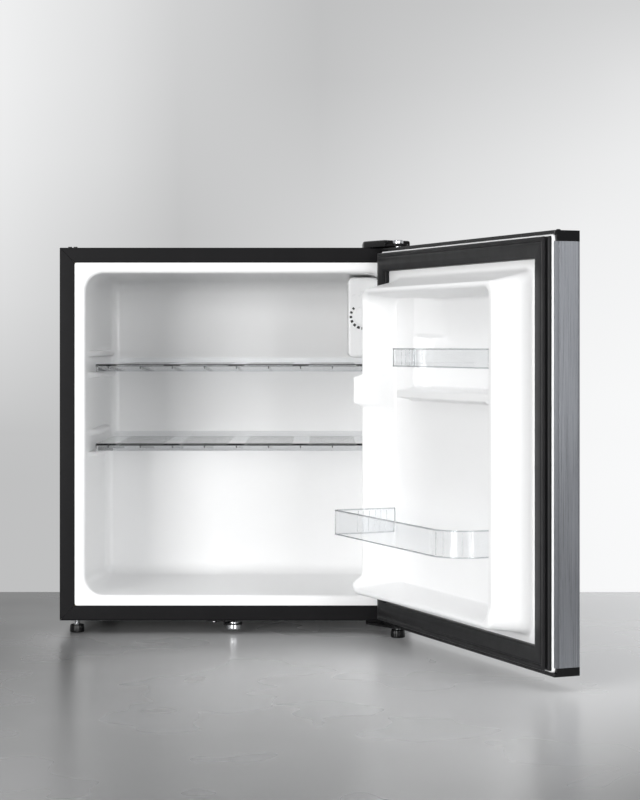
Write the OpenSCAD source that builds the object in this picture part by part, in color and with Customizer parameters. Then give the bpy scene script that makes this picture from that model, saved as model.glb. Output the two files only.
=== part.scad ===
// Free-standing compact refrigerator: one compartment behind one door,
// hinged on the right, with two clear shelves, two clear door rails, a
// thermostat, a key lock under the front edge and a sealed cooling circuit.
// Millimetres. +X is to the right of a person facing it, +Y to the back,
// +Z up. The floor is Z = 0. The door stands open at rest.

/* [Cabinet] */
// Width of the cabinet
cab_w = 468; // [460:1:476]
// Height of the cabinet without its feet
cab_h = 494; // [488:1:500]
// Depth of the cabinet without the door
cab_d = 400; // [398:1:410]
// Height of the feet
foot_h = 18; // [18:1:19]
// Width of the black frame round the front
frame_w = 20; // [19:1:21]
// Distance from the cabinet's edge to the compartment's opening
open_in = 34; // [33:1:35]
// Thickness of the cabinet's sheet steel
sheet = 1.2; // [1:0.1:1.2]
// Wall of the vacuum-formed liner
liner_t = 2; // [1.6:0.1:2.2]
// Depth of the upper compartment
up_depth = 337; // [330:1:338]
// Depth of the lower compartment, in front of the compressor
low_depth = 246; // [240:1:248]
// Height of the step over the compressor, above the floor
step_z = 239.8; // [238:0.1:239.8]

/* [Door] */
// Thickness of the door without its liner
door_t = 33; // [32:1:34]
// Gap that the gasket closes
seal_gap = 11; // [11:0.5:12]
// Angle at which the door stands open
open_angle = 112.5; // [100:0.5:115]
// Height of the ridge round the door liner
dike_h = 50; // [46:1:50]
// Distance from the door's flange edge to the ridge
dike_in = 47; // [46:1:48]
// Depth of the lower door rail
rail_m = 96; // [90:1:104]

/* [Shelves] */
// Depth of the upper shelf
shelf_up_d = 280; // [270:1:282]
// Depth of the lower shelf
shelf_low_d = 222; // [215:1:230]
// Height of the upper shelf's top above the floor
shelf_up_z = 357; // [355:1:357]
// Height of the lower shelf's top above the floor
shelf_low_z = 250; // [250:1:251]
// Height of the lip round a shelf
lip_h = 9.7; // [9:0.1:9.7]
// Thickness of a shelf's plate
shelf_t = 2.6; // [2:0.1:3]

/* [Hidden] */
$fn = 48;

hw = cab_w / 2;                  // half the cabinet's width
z0 = foot_h;                     // underside of the cabinet
z1 = foot_h + cab_h;             // top of the cabinet
ox = hw - open_in;               // half the opening's width
oz0 = z0 + open_in;              // floor of the compartment
oz1 = z1 - open_in;              // ceiling of the compartment
open_r = 24;                     // corner radius of the opening
niche_y = 279;                   // front wall of the compressor's niche
niche_z = 214;                   // ceiling of the niche

hx = hw - 21;                    // hinge axis
hy = -seal_gap - door_t/2;
door_z0 = z0 - 0.5;              // underside of the door
door_z1 = z1 - 2.5;              // top of the door
dy0 = -seal_gap - door_t;        // outer face of the closed door
dy1 = -seal_gap;                 // flange face of the closed door
fl = 4;                          // inset of the door liner's flange
fx = hw - fl;                    // half the flange's width
cap_top = 12;
cap_low = 9.5;

// the whole stands centred on the floor, door open, so these shift it
c_o = cos(open_angle); s_o = sin(open_angle);
function turned(p) = [hx + (p[0]-hx)*c_o - (p[1]-hy)*s_o,
                      hy + (p[0]-hx)*s_o + (p[1]-hy)*c_o];
far_out = turned([-hw, dy0]);
far_in = turned([-hw, dy1]);
shift_x = -(far_out[0] - hw) / 2;
shift_y = -(min(far_out[1], far_in[1]) + cab_d) / 2;

module at_origin() { translate([shift_x, shift_y, 0]) children(); }
module on_door() {
  at_origin() translate([hx, hy, 0]) rotate([0, 0, open_angle])
    translate([-hx, -hy, 0]) children();
}

// ---------- helpers ----------
module box(a, b) { translate(a) cube([b[0]-a[0], b[1]-a[1], b[2]-a[2]]); }

// flat rounded rectangle
module rrect(xa, xb, ya, yb, r) {
  translate([xa + r, ya]) square([xb - xa - 2*r, yb - ya]);
  translate([xa, ya + r]) square([xb - xa, yb - ya - 2*r]);
  for (x = [xa + r, xb - r], y = [ya + r, yb - r]) translate([x, y]) circle(r);
}

// prism along Y from a shape drawn in X and Z
module along_y(ya, yb) {
  translate([0, yb, 0]) rotate([90, 0, 0]) linear_extrude(yb - ya) children();
}

// prism along X from a shape drawn in Y and Z
module along_x(xa, xb) {
  translate([xa, 0, 0]) rotate([90, 0, 90]) linear_extrude(xb - xa) children();
}

module rod(p, q, r) {
  d = q - p; l = norm(d);
  translate(p) rotate([0, acos(d[2]/l), atan2(d[1], d[0])]) cylinder(h = l, r = r);
}

module pipe(pts, r) {
  for (i = [0:len(pts)-2]) rod(pts[i], pts[i+1], r);
  // beads at the bends, a little fuller than the tube
  if (len(pts) > 2) for (i = [1:len(pts)-2]) translate(pts[i]) sphere(r * 1.07);
}

// pan-head screw, head up, shank down
module screw(p, head_r, head_h, r, l) {
  translate(p) { cylinder(h = head_h, r = head_r); translate([0, 0, -l]) cylinder(h = l, r = r); }
}

// ---------- cabinet ----------
module liner_space(g) {
  along_y(-5, low_depth + g) rrect(-ox-g, ox+g, oz0-g, oz1+g, open_r+g);
  along_y(-5, up_depth + g) intersection() {
    rrect(-ox-g, ox+g, oz0-g, oz1+g, open_r+g);
    translate([-hw, step_z - g]) square([cab_w, cab_h]);
  }
}

module outer_shell() color([0.16, 0.16, 0.17]) at_origin() {
  difference() {
    box([-hw, 0, z0], [hw, cab_d, z1]);
    // inside, open below and behind
    box([-hw+sheet, sheet, z0-1], [hw-sheet, cab_d+1, z1-sheet]);
    box([-hw+frame_w, -1, z0+frame_w], [hw-frame_w, sheet+1, z1-frame_w]);
  }
}

module base_plate() color([0.3, 0.3, 0.32]) at_origin() difference() {
  box([-hw+sheet, sheet, z0], [hw-sheet, niche_y, z0+1.5]);
  translate([-hw+20.6, 23, z0-1]) cylinder(h = 4, r = 4);
}

module rear_panel() color([0.2, 0.2, 0.21]) at_origin() difference() {
  along_x(-hw+sheet, hw-sheet) polygon([
    [niche_y, z0+1.5], [niche_y+1, z0+1.5], [niche_y+1, niche_z], [cab_d, niche_z],
    [cab_d, z1-sheet], [cab_d-1, z1-sheet], [cab_d-1, niche_z+1], [niche_y, niche_z+1]]);
  translate([drain_x, drain_y, niche_z-2]) cylinder(h = 6, r = 6);
}

drain_x = 95; drain_y = 312;

// ledge that carries a shelf, on both side walls
module ledges(ztop, y_to) {
  for (s = [-1, 1]) box([s > 0 ? ox-11 : -ox-1, 34, ztop-8], [s > 0 ? ox+1 : -ox+11, y_to, ztop]);
}

module inner_liner() color([0.94, 0.95, 0.95]) at_origin() difference() {
  union() {
    difference() {
      union() {
        intersection() { liner_space(liner_t); box([-hw, sheet, 0], [hw, cab_d, z1]); }
        box([-hw+12, sheet, z0+12], [hw-12, sheet+2, z1-12]);
      }
      liner_space(0);
    }
    ledges(shelf_up_z - lip_h - 0.4, 300);
    ledges(shelf_low_z - lip_h - 0.4, 240);
  }
  translate([drain_x, drain_y, step_z-10]) cylinder(h = 20, r = 4.5);
}

module cabinet_foam() color([0.88, 0.82, 0.62]) at_origin() difference() {
  box([-hw+sheet, sheet+2, z0+1.5], [hw-sheet, cab_d-1, z1-sheet]);
  liner_space(liner_t);
  box([-hw, niche_y, 0], [hw, cab_d+1, niche_z+1]);
  // evaporator plate and its channels
  box([-166, up_depth+liner_t-1, 260], [166, up_depth+liner_t+8.4, 470]);
  // condenser slabs against the side walls
  for (s = [-1, 1]) box([s > 0 ? hw-sheet-5.6 : -hw, 36, 226], [s > 0 ? hw : -hw+sheet+5.6, 384, 486]);
  translate([drain_x, drain_y, niche_z-2]) cylinder(h = 40, r = 6);
  translate([-hw+20.6, 23, z0]) cylinder(h = 16.2, r = 9.6);
}

module evaporator() color([0.75, 0.77, 0.78]) at_origin() {
  y = up_depth + liner_t;
  box([-165, y, 261], [165, y+1.8, 469]);
  // one channel runs to and fro behind the plate
  for (i = [0:4]) rod([-150, y+3.6, 281+42*i], [150, y+3.6, 281+42*i], 3);
  for (i = [0:3]) rod([i % 2 == 0 ? 146 : -146, y+3.6, 281+42*i], [i % 2 == 0 ? 146 : -146, y+3.6, 323+42*i], 2.6);
}

module condenser_coil() color([0.55, 0.36, 0.24]) at_origin()
  for (s = [-1, 1]) {
    x = s * (hw - sheet - 2.8);
    pipe([[x, 40, 230], [x, 380, 230], [x, 380, 280], [x, 44, 280], [x, 44, 330],
          [x, 380, 330], [x, 380, 380], [x, 44, 380], [x, 44, 430], [x, 380, 430],
          [x, 380, 480], [x, 44, 480]], 2.5);
  }

drain_top = step_z - liner_t;
module drain_tube() color([0.85, 0.85, 0.85]) at_origin() difference() {
  translate([drain_x, drain_y, 196]) cylinder(h = drain_top - 196, r = 6);
  translate([drain_x, drain_y, 190]) cylinder(h = 60, r = 4.5);
}

// ---------- thermostat ----------
th_x0 = 149.5; th_y = 56; th_z0 = 366; th_z1 = 474.5; th_d = 150;
dial_x = 169; dial_z = 422;

module thermostat_housing() color([0.95, 0.95, 0.95]) at_origin() difference() {
  intersection() {
    box([th_x0, th_y, th_z0], [ox, th_y+th_d, th_z1]);
    along_y(0, 300) rrect(-ox, ox, oz0, oz1, open_r);
  }
  box([th_x0+2, th_y+2, th_z0+2], [ox+1, th_y+th_d-2, th_z1-2]);
  translate([dial_x, th_y-1, dial_z]) rotate([-90, 0, 0]) cylinder(h = 6, r = 3.06);
  translate([dial_x, th_y+th_d-5, 390]) rotate([-90, 0, 0]) cylinder(h = 10, r = 1.6);
}

module thermostat_body() color([0.6, 0.6, 0.62]) at_origin() difference() {
  union() {
    box([th_x0+4, th_y+2, dial_z-24], [ox-4, th_y+36, dial_z+24]);
    box([th_x0+12, th_y+36, dial_z-14], [ox-14, th_y+46, dial_z+10]);
  }
  translate([dial_x, th_y-1, dial_z]) rotate([-90, 0, 0]) cylinder(h = 18, r = 3.06);
}

module sensing_tube() color([0.7, 0.5, 0.35]) at_origin()
  pipe([[dial_x, th_y+46, 415], [dial_x, th_y+70, 415], [dial_x, th_y+70, 390],
        [dial_x, 334, 390], [dial_x, 334, 450]], 1.2);

module thermostat_dial() color([0.93, 0.93, 0.93]) at_origin()
  translate([dial_x, th_y, dial_z]) rotate([90, 0, 0]) {
    translate([0, 0, 0.4]) cylinder(h = 3.4, r = 13);
    translate([0, 0, 3.8]) intersection() {
      cylinder(h = 6, r = 12.4);
      translate([-3.4, -13, 0]) cube([6.8, 26, 6]);
    }
    translate([0, 0, -16]) cylinder(h = 16.5, r = 3);
  }

// ---------- hinges ----------
module hinge_hole_plugs() color([0.1, 0.1, 0.1]) at_origin()
  for (x = [-hw+12.4, -hw+19.6]) translate([x, 14, z1]) cylinder(h = 1.6, r = 2.6);

hinge_outline = [[170, 62], [226.4, 62], [226.4, hy], [hx, hy], [hx-10.2, hy-8.8], [172, 14], [170, 20]];

module top_hinge_bracket() color([0.1, 0.1, 0.1]) at_origin() difference() {
  union() {
    translate([0, 0, z1]) linear_extrude(3) polygon(hinge_outline);
    translate([hx, hy, z1]) cylinder(h = 3, r = 14);
  }
  translate([hx, hy, z1-1]) cylinder(h = 6, r = 4);
  for (p = [[184, 48], [214, 48], [200, 20]]) translate([p[0], p[1], z1-1]) cylinder(h = 6, r = 2.6);
}

module top_hinge_pin() color([0.75, 0.75, 0.76]) at_origin() translate([hx, hy, 0]) {
  translate([0, 0, door_z1 - 14]) cylinder(h = z1 + 3 - door_z1 + 14, r = 4);
  translate([0, 0, z1+3]) cylinder(h = 5.5, r = 7);
}

module top_hinge_cover() color([0.1, 0.1, 0.1]) at_origin() difference() {
  translate([0, 0, z1]) linear_extrude(9)
    polygon([[168, 64], [230, 64], [230, 0], [205, -16], [196, -26], [170, 12], [168, 18]]);
  translate([0, 0, z1-1]) linear_extrude(4) polygon([[169.8, 62.2], [227.2, 62.2], [227.2, -30], [180, -30], [169.8, 12]]);
  for (p = [[184, 48], [214, 48], [200, 20]]) translate([p[0], p[1], z1]) cylinder(h = 7, r = 5.2);
}

module top_hinge_screws() color([0.7, 0.7, 0.72]) at_origin()
  for (p = [[184, 48], [214, 48], [200, 20]]) screw([p[0], p[1], z1+3], 4.8, 2.4, 2.5, 4.2 - sheet + 0);

module bottom_hinge_bracket() color([0.1, 0.1, 0.1]) at_origin() difference() {
  union() {
    translate([0, 0, z0-4.8]) linear_extrude(3) {
      polygon([[172, 5], [226.4, 5], [226.4, hy], [hx, hy], [hx-10.2, hy-8.8], [172, 0]]);
      translate([hx, hy]) circle(14);
    }
    box([172, 2, z0-4.8], [226.4, 5, z0]);
    box([172, 2, z0-3], [226.4, 62, z0]);
  }
  translate([hx, hy, 0]) cylinder(h = 40, r = 4);
  for (x = [184, 214]) translate([x, 46, z0-6]) cylinder(h = 8, r = 2.6);
}

module bottom_hinge_pin() color([0.75, 0.75, 0.76]) at_origin() translate([hx, hy, 0]) difference() {
  union() {
    translate([0, 0, z0-4.8]) cylinder(h = door_z0 + 16 - z0 + 4.8, r = 4);
  }
  translate([0, 0, z0-6]) cylinder(h = 8.4, r = 3);
}

module bottom_hinge_screws() color([0.7, 0.7, 0.72]) at_origin()
  for (x = [184, 214]) translate([x, 46, z0-3]) mirror([0, 0, 1]) screw([0, 0, 0], 4.8, 2.4, 2.5, 3);

// ---------- feet ----------
module front_foot_left() color([0.08, 0.08, 0.08]) at_origin() translate([-hw+20.6, 23, 0]) {
  rotate_extrude() polygon([[0, 0], [8.6, 0], [9.5, 2], [9.8, z0-0.6], [0, z0-0.6]]);
  translate([0, 0, z0-0.7]) cylinder(h = 12, r = 3.95);
}

module foot_insert() color([0.7, 0.7, 0.72]) at_origin() translate([-hw+20.6, 23, z0+1.5]) difference() {
  cylinder(h = 12, r = 9.5, $fn = 6);
  translate([0, 0, -1]) cylinder(h = 14, r = 4);
}

module front_foot_right() color([0.08, 0.08, 0.08]) at_origin() translate([hx, hy, 0]) {
  rotate_extrude() polygon([[0, 0], [8.8, 0], [9.5, 1.6], [9.5, 9], [8.6, 10], [0, 10]]);
  translate([0, 0, 9.9]) cylinder(h = door_z0 - 0.7 - 9.9, r = 2.94);
}

module rear_feet() color([0.08, 0.08, 0.08]) at_origin()
  for (s = [-1, 1]) translate([s*(hw-26), cab_d-22, 0])
    rotate_extrude() polygon([[0, 0], [11, 0], [12, 2], [12.6, z0], [0, z0]]);

// ---------- cooling unit ----------
cx = 95; cy = 341; can_r = 56;

module compressor_plate() color([0.3, 0.3, 0.32]) at_origin() difference() {
  union() {
    box([-hw+sheet, niche_y, z0], [hw-sheet, cab_d, z0+1.5]);
    box([-hw+sheet, cab_d-1.5, z0], [hw-sheet, cab_d, z0+14]);
  }
  for (x = [-72, 72], y = [-32, 32]) translate([cx+x, cy+y, z0-1]) cylinder(h = 4, r = 3.1);
  translate([-60, cab_d-5, z0+9]) rotate([-90, 0, 0]) cylinder(h = 10, r = 2.2);
}

module compressor() color([0.09, 0.09, 0.09]) at_origin() translate([cx, cy, 26]) union() {
  rotate_extrude($fn = 96) intersection() { rrect(-can_r, can_r, 0, 142, 34); square([100, 200]); }
  translate([0, 0, 68]) cylinder(h = 5, r = can_r + 1.6, $fn = 96);
}

module compressor_legs() color([0.12, 0.12, 0.12]) at_origin() difference() {
  box([cx-84, cy-42, 30], [cx+84, cy+42, 33]);
  translate([cx, cy, 20]) cylinder(h = 20, r = can_r-8);
  translate([cx, cy, 26]) rotate_extrude($fn = 96) intersection() { rrect(-can_r, can_r, 0, 142, 34); square([100, 200]); }
  for (x = [-72, 72], y = [-32, 32]) translate([cx+x, cy+y, 20]) cylinder(h = 20, r = 6);
}

module compressor_grommets() color([0.12, 0.12, 0.12]) at_origin()
  for (x = [-72, 72], y = [-32, 32]) translate([cx+x, cy+y, z0+1.5]) difference() {
    union() {
      cylinder(h = 30 - z0 - 1.5, r = 9);
      cylinder(h = 33 - z0 - 1.5, r = 6);
      translate([0, 0, 33 - z0 - 1.5]) cylinder(h = 3, r = 8.4);
    }
    translate([0, 0, -1]) cylinder(h = 30, r = 3.1);
  }

module compressor_bolts() color([0.72, 0.72, 0.74]) at_origin()
  for (x = [-72, 72], y = [-32, 32]) translate([cx+x, cy+y, 36]) {
    cylinder(h = 4, r = 6.5, $fn = 6);
    translate([0, 0, z0+0.5-36]) cylinder(h = 36 - z0 - 0.5, r = 3);
  }

module start_relay_cover() color([0.1, 0.1, 0.1]) at_origin() difference() {
  box([cx-can_r-20, cy-22, 62], [cx-can_r+14, cy+22, 118]);
  translate([cx, cy, 26]) cylinder(h = 142, r = can_r + 1.7, $fn = 96);
}

module filter_drier() color([0.78, 0.5, 0.35]) at_origin() {
  translate([-20, 310, 0]) rotate_extrude()
    polygon([[0, 92], [3, 92], [3, 98], [9, 108], [9, 168], [3, 178], [3, niche_z], [0, niche_z]]);
  pipe([[-20, 310, 93], [-20, 310, 84], [-60, 310, 84], [-60, 310, niche_z]], 1.6);
}

module discharge_tube() color([0.78, 0.5, 0.35]) at_origin()
  pipe([[cx-42, cy-34, 60], [cx-can_r-26, cy-34, 60], [cx-can_r-26, cy-34, niche_z]], 3);

module suction_tube() color([0.78, 0.5, 0.35]) at_origin()
  pipe([[cx+can_r-2, cy-6, 130], [cx+can_r+24, cy-6, 130], [cx+can_r+24, cy-6, niche_z]], 4);

module drip_pan() color([0.15, 0.15, 0.15]) at_origin() difference() {
  box([cx-52, niche_y+5, 168], [cx+52, cab_d-4, 190]);
  box([cx-50, niche_y+7, 170], [cx+50, cab_d-6, 191]);
}

module cord_gland() color([0.1, 0.1, 0.1]) at_origin() difference() {
  translate([-150, cab_d-24, niche_z-9]) cylinder(h = 9, r = 8);
  translate([-150, cab_d-24, niche_z-10]) cylinder(h = 7, r = 3.6);
}

// ---------- lock ----------
lx = -3.7; ly = 8;

module lock_bracket() color([0.12, 0.12, 0.12]) at_origin() difference() {
  union() {
    box([lx-13, ly-12, 12.6], [lx+11, ly+12, 13.8]);
    box([lx-13, ly-12, 12.6], [lx-11.6, ly+12, z0]);
    box([lx-36, ly-5, z0-1.4], [lx-11.6, ly+12, z0]);
  }
  translate([lx, ly, 10]) cylinder(h = 5, r = 7.5);
  translate([lx-26, ly+4, z0-3]) cylinder(h = 5, r = 2.1);
}

module lock_bracket_screws() color([0.7, 0.7, 0.72]) at_origin()
  translate([lx-26, ly+4, z0-1.4]) mirror([0, 0, 1]) screw([0, 0, 0], 3.6, 1.6, 2, 1.4);

module lock_barrel() color([0.85, 0.85, 0.87]) at_origin() translate([lx, ly, 0]) difference() {
  union() {
    rotate_extrude() polygon([[0, 6], [8.4, 6], [9.5, 7.1], [9.5, 12.6], [0, 12.6]]);
    translate([0, 0, 12.5]) cylinder(h = 1.3, r = 7.5);
  }
  cylinder(h = 20, r = 5.55);
}

module lock_plug() color([0.8, 0.8, 0.82]) at_origin() translate([lx, ly, 0]) difference() {
  translate([0, 0, 5.6]) cylinder(h = 8.7, r = 5.5);
  translate([-4, -0.7, 5]) cube([8, 1.4, 4]);
}

// arm and hook swing out under the door and in front of its catch
cam_turn = 150;
module lock_cam() color([0.75, 0.75, 0.77]) at_origin() translate([lx, ly, 14.3]) linear_extrude(1.6) {
  circle(8);
  translate([-4, 0]) square([8, 52.5]);
  difference() {
    circle(56, $fn = 96);
    circle(51, $fn = 96);
    polygon([[0, 0], [-4, 0], [-4, 70], [-70, 70], [-70, -70], [70, -70],
             [70, 70 * cos(50)], [70 * cos(50), 70 * sin(50)]]);
  }
}

// ---------- shelves ----------
shelf_hx = 192.5; shelf_y = 50;

module shelf(d, zt, upstand) {
  zb = zt - lip_h;
  y0 = shelf_y; y1 = shelf_y + d;
  box([-shelf_hx, y0, zt-shelf_t], [shelf_hx, y1, zt]);
  box([-shelf_hx, y0, zb], [shelf_hx, y0+2, zt]);
  box([-shelf_hx, y1-2, zb], [shelf_hx, y1, zt+upstand]);
  for (s = [-1, 1]) box([s > 0 ? shelf_hx-2 : -shelf_hx, y0, zb], [s > 0 ? shelf_hx : -shelf_hx+2, y1, zt]);
  // stiffening ribs under the plate
  for (i = [-4:4]) box([i*43-0.8, y0+1, zt-shelf_t-3.4], [i*43+0.8, y1-1, zt-shelf_t+0.1]);
}

module upper_shelf() color([0.75, 0.8, 0.82, 0.5]) at_origin() difference() {
  shelf(shelf_up_d, shelf_up_z, 7);
}
module lower_shelf() color([0.75, 0.8, 0.82, 0.5]) at_origin() difference() {
  shelf(shelf_low_d, shelf_low_z, 7);
}

// ---------- door ----------
// u runs from the flange's hinge edge to its free edge, m from the flange
// face into the compartment
module umbox(u0, u1, m0, m1, za, zb) { box([fx-u1, dy1+m0, za], [fx-u0, dy1+m1, zb]); }

fw = 2*fx;
du0 = dike_in; du1 = fw - dike_in;      // outline of the ridge
dz0 = door_z0 + fl + 43; dz1 = door_z1 - fl - 43.5;
dlt = 2.2;                               // wall of the door liner

module door_skin() color([0.62, 0.64, 0.67]) on_door() difference() {
  box([-hw, dy0, door_z0+cap_low], [hw, dy1-5, door_z1-cap_top]);
  box([-hw+1, dy0+1, 0], [hw-1, dy1-6, z1+9]);
  box([-hw+9, dy0+1, 0], [hw-9, dy1, z1+9]);
}

module cap(za, zb, edge_a, edge_b) {
  box([-hw, dy0, za], [hw, dy1-3, zb]);
  box([-hw, dy1-3.1, edge_a], [hw, dy1, edge_b]);
}

module door_top_cap() color([0.08, 0.08, 0.08]) on_door() difference() {
  union() {
    cap(door_z1-cap_top, door_z1, door_z1-fl, door_z1);
    translate([hx, hy, door_z1-cap_top-8]) cylinder(h = 9, r = 9);
  }
  translate([hx, hy, door_z1-cap_top-9]) cylinder(h = 40, r = 6.5);
  translate([-hx, hy, door_z1-6]) cylinder(h = 10, r = 3);
}

module door_bottom_cap() color([0.08, 0.08, 0.08]) on_door() difference() {
  union() {
    cap(door_z0, door_z0+cap_low, door_z0, door_z0+fl);
    translate([hx, hy, door_z0+cap_low-1]) cylinder(h = 10.5, r = 9);
    // catch behind which the lock's hook turns
    box([lx-7, ly-49, 13.4], [lx+7, ly-45.5, door_z0+1]);
  }
  translate([hx, hy, door_z0-1]) cylinder(h = 40, r = 6.5);
  translate([-hx, hy, door_z0-1]) cylinder(h = 6, r = 3);
}

module cap_hole_plugs() color([0.06, 0.06, 0.06]) on_door() {
  translate([-hx, hy, door_z1-6]) cylinder(h = 7.2, r = 2.9);
  translate([-hx, hy, door_z0-1.2]) cylinder(h = 6.1, r = 2.9);
}

module door_hinge_bushes() color([0.9, 0.9, 0.88]) on_door() {
  translate([hx, hy, 0]) difference() {
    union() {
      translate([0, 0, door_z1-cap_top-8]) cylinder(h = cap_top+8, r = 6.45);
      translate([0, 0, door_z0]) cylinder(h = cap_low+9, r = 6.45);
    }
    cylinder(h = 600, r = 4.06);
  }
}

// raised shape of the liner's face, shrunk by t
module face_mass(t) {
  m0 = t > 0 ? -3.1 : -3;
  // panel
  umbox(du0+t, du1-t, m0, 8-t, dz0+t, dz1-t);
  // side, top and bottom ridges
  umbox(du0+t, du0+26-t, m0, dike_h-t, dz0+t, dz1-t);
  umbox(du1-15+t, du1-t, m0, dike_h-t, dz0+t, dz1-t);
  umbox(du0+t, du1-t, m0, dike_h-t, dz1-14+t, dz1-t);
  umbox(du0+t, du1-t, m0, 58-t, dz0+t, dz0+13-t);
  // step beside the pocket
  umbox(du0+t, du0+68-t, m0, 20-t, 326, dz1-t);
  // ledge under the upper rail
  umbox(du0+t, du1-t, m0, 30-t, 315+t, 326-t);
  // bulge under the upper shelf
  umbox(du0+t, du0+12-t, m0, 62-t, 306+t, 346-t);
}

rec_u0 = du0 + 70; rec_u1 = du1 - 17; rec_m = -10; rec_z0 = 328; rec_z1 = dz1 - 16;

module door_liner() color([0.95, 0.95, 0.96]) on_door() difference() {
  union() {
    umbox(0, fw, -3, 0, door_z0+fl, door_z1-fl);
    face_mass(0);
    umbox(rec_u0-dlt, rec_u1+dlt, rec_m-dlt, 0, rec_z0-dlt, rec_z1+dlt);
  }
  difference() {
    face_mass(dlt);
    umbox(rec_u0-dlt, rec_u1+dlt, rec_m-dlt, 20, rec_z0-dlt, rec_z1+dlt);
  }
  umbox(rec_u0, rec_u1, rec_m, 60, rec_z0, rec_z1);
}

module door_foam() color([0.88, 0.82, 0.62]) on_door() difference() {
  union() {
    box([-hw+1, dy0+1, door_z0+cap_low], [hw-1, dy1-6, door_z1-cap_top]);
    box([-hw+9, dy1-6.1, door_z0+cap_low], [hw-9, dy1-3, door_z1-cap_top]);
    translate([0, 0, 0]) face_mass(dlt);
  }
  umbox(rec_u0-dlt, rec_u1+dlt, rec_m-dlt, 20, rec_z0-dlt, rec_z1+dlt);
  translate([hx, hy, door_z1-cap_top-8]) cylinder(h = 30, r = 9);
  translate([hx, hy, 0]) cylinder(h = door_z0+cap_low+9.5, r = 9);
}

g_in = 2.5; g_w = 24; g_m = seal_gap - 0.4;
module seal_frame(i, w, ma, mb) difference() {
  umbox(i, fw-i, ma, mb, door_z0+fl+i, door_z1-fl-i);
  umbox(i+w, fw-i-w, ma-1, mb+1, door_z0+fl+i+w, door_z1-fl-i-w);
}

module door_gasket() color([0.13, 0.13, 0.14]) on_door() difference() {
  union() {
    seal_frame(g_in, g_w, 0, 4);
    seal_frame(g_in+2.4, g_w-6, 3.9, g_m);
  }
  seal_frame(g_in+6.5, 9, -0.5, g_m-2);
  // bellows groove near the outer edge
  seal_frame(g_in-1, 2.2, 1.4, 2.8);
  // shoulder that clears the cabinet's face as the door turns
  difference() {
    box([hx, hy, 0], [hw+5, 5, 600]);
    translate([hx, hy, -1]) cylinder(h = 700, r = -hy - 0.35, $fn = 96);
  }
}

module gasket_magnets() color([0.25, 0.2, 0.18]) on_door() {
  a = g_in + 6.8; w = 8.4; m0 = g_m - 5; m1 = g_m - 2.1;
  for (s = [0, 1]) {
    umbox(s > 0 ? fw-a-w : a, s > 0 ? fw-a : a+w, m0, m1, door_z0+fl+a, door_z1-fl-a);
    umbox(a+w+1, fw-a-w-1, m0, m1, s > 0 ? door_z1-fl-a-w : door_z0+fl+a, s > 0 ? door_z1-fl-a : door_z0+fl+a+w);
  }
}

// ---------- door rails ----------
// half of a rounded corner of a bar of width w, in u and m
module um2d(za, zb) { translate([fx, dy1, za]) mirror([1, 0, 0]) linear_extrude(zb-za) children(); }

rl_u0 = du0 + 26.5; rl_u1 = du1 - 15.5;
up_u0 = 122.6;

module u_outline(m_back, m_front, w, rs, rb, u0 = rl_u0) {
  difference() {
    union() {
      translate([u0, m_back]) square([rl_u1-u0, m_front-m_back-rb]);
      translate([u0+rs, m_back]) square([rl_u1-u0-rs-rb, m_front-m_back]);
      translate([u0+rs, m_front-rs]) circle(rs);
      translate([u0, m_front-rb-1]) square([rs, rb-rs+1]);
      translate([rl_u1-rb, m_front-rb]) circle(rb, $fn = 96);
    }
    union() {
      translate([u0+w, m_back-1]) square([rl_u1-u0-2*w, m_front-m_back-rb+1]);
      translate([u0+w+1, m_back-1]) square([rl_u1-u0-w-1-rb, m_front-m_back-w+1]);
      translate([u0+w, m_back-1]) square([4, m_front-m_back-w-1+1]);
      translate([rl_u1-rb, m_front-rb]) circle(rb-w, $fn = 96);
    }
  }
}

module lower_door_rail() color([0.75, 0.8, 0.82, 0.5]) on_door() {
  um2d(144, 175.5) u_outline(14, rail_m+3, 2.6, 5, 40);
  um2d(144, 146.2) u_outline(14, rail_m+3, 4, 5, 40);
}

module upper_door_rail() color([0.75, 0.8, 0.82, 0.5]) on_door() {
  um2d(356, 379) u_outline(24, 41, 2.4, 4, 14, up_u0);
  umbox(up_u0, up_u0+2.4, 9, 25, 356, 379);
}

outer_shell();
base_plate();
rear_panel();
inner_liner();
cabinet_foam();
evaporator();
condenser_coil();
thermostat_housing();
thermostat_body();
sensing_tube();
hinge_hole_plugs();
top_hinge_bracket();
top_hinge_pin();
top_hinge_cover();
top_hinge_screws();
bottom_hinge_bracket();
bottom_hinge_pin();
bottom_hinge_screws();
rear_feet();
foot_insert();
compressor_plate();
compressor();
compressor_legs();
compressor_grommets();
compressor_bolts();
start_relay_cover();
filter_drier();
discharge_tube();
suction_tube();
drain_tube();
drip_pan();
cord_gland();
lock_bracket();
lock_bracket_screws();
lock_barrel();
lock_plug();
lock_cam();
thermostat_dial();
front_foot_left();
front_foot_right();
upper_shelf();
lower_shelf();
door_skin();
door_top_cap();
door_bottom_cap();
door_foam();
door_liner();
door_gasket();
gasket_magnets();
door_hinge_bushes();
cap_hole_plugs();
upper_door_rail();
lower_door_rail();
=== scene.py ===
import bpy
import bmesh
import math
import numpy as np
from mathutils import Vector, Matrix
from mathutils.geometry import tessellate_polygon


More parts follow.
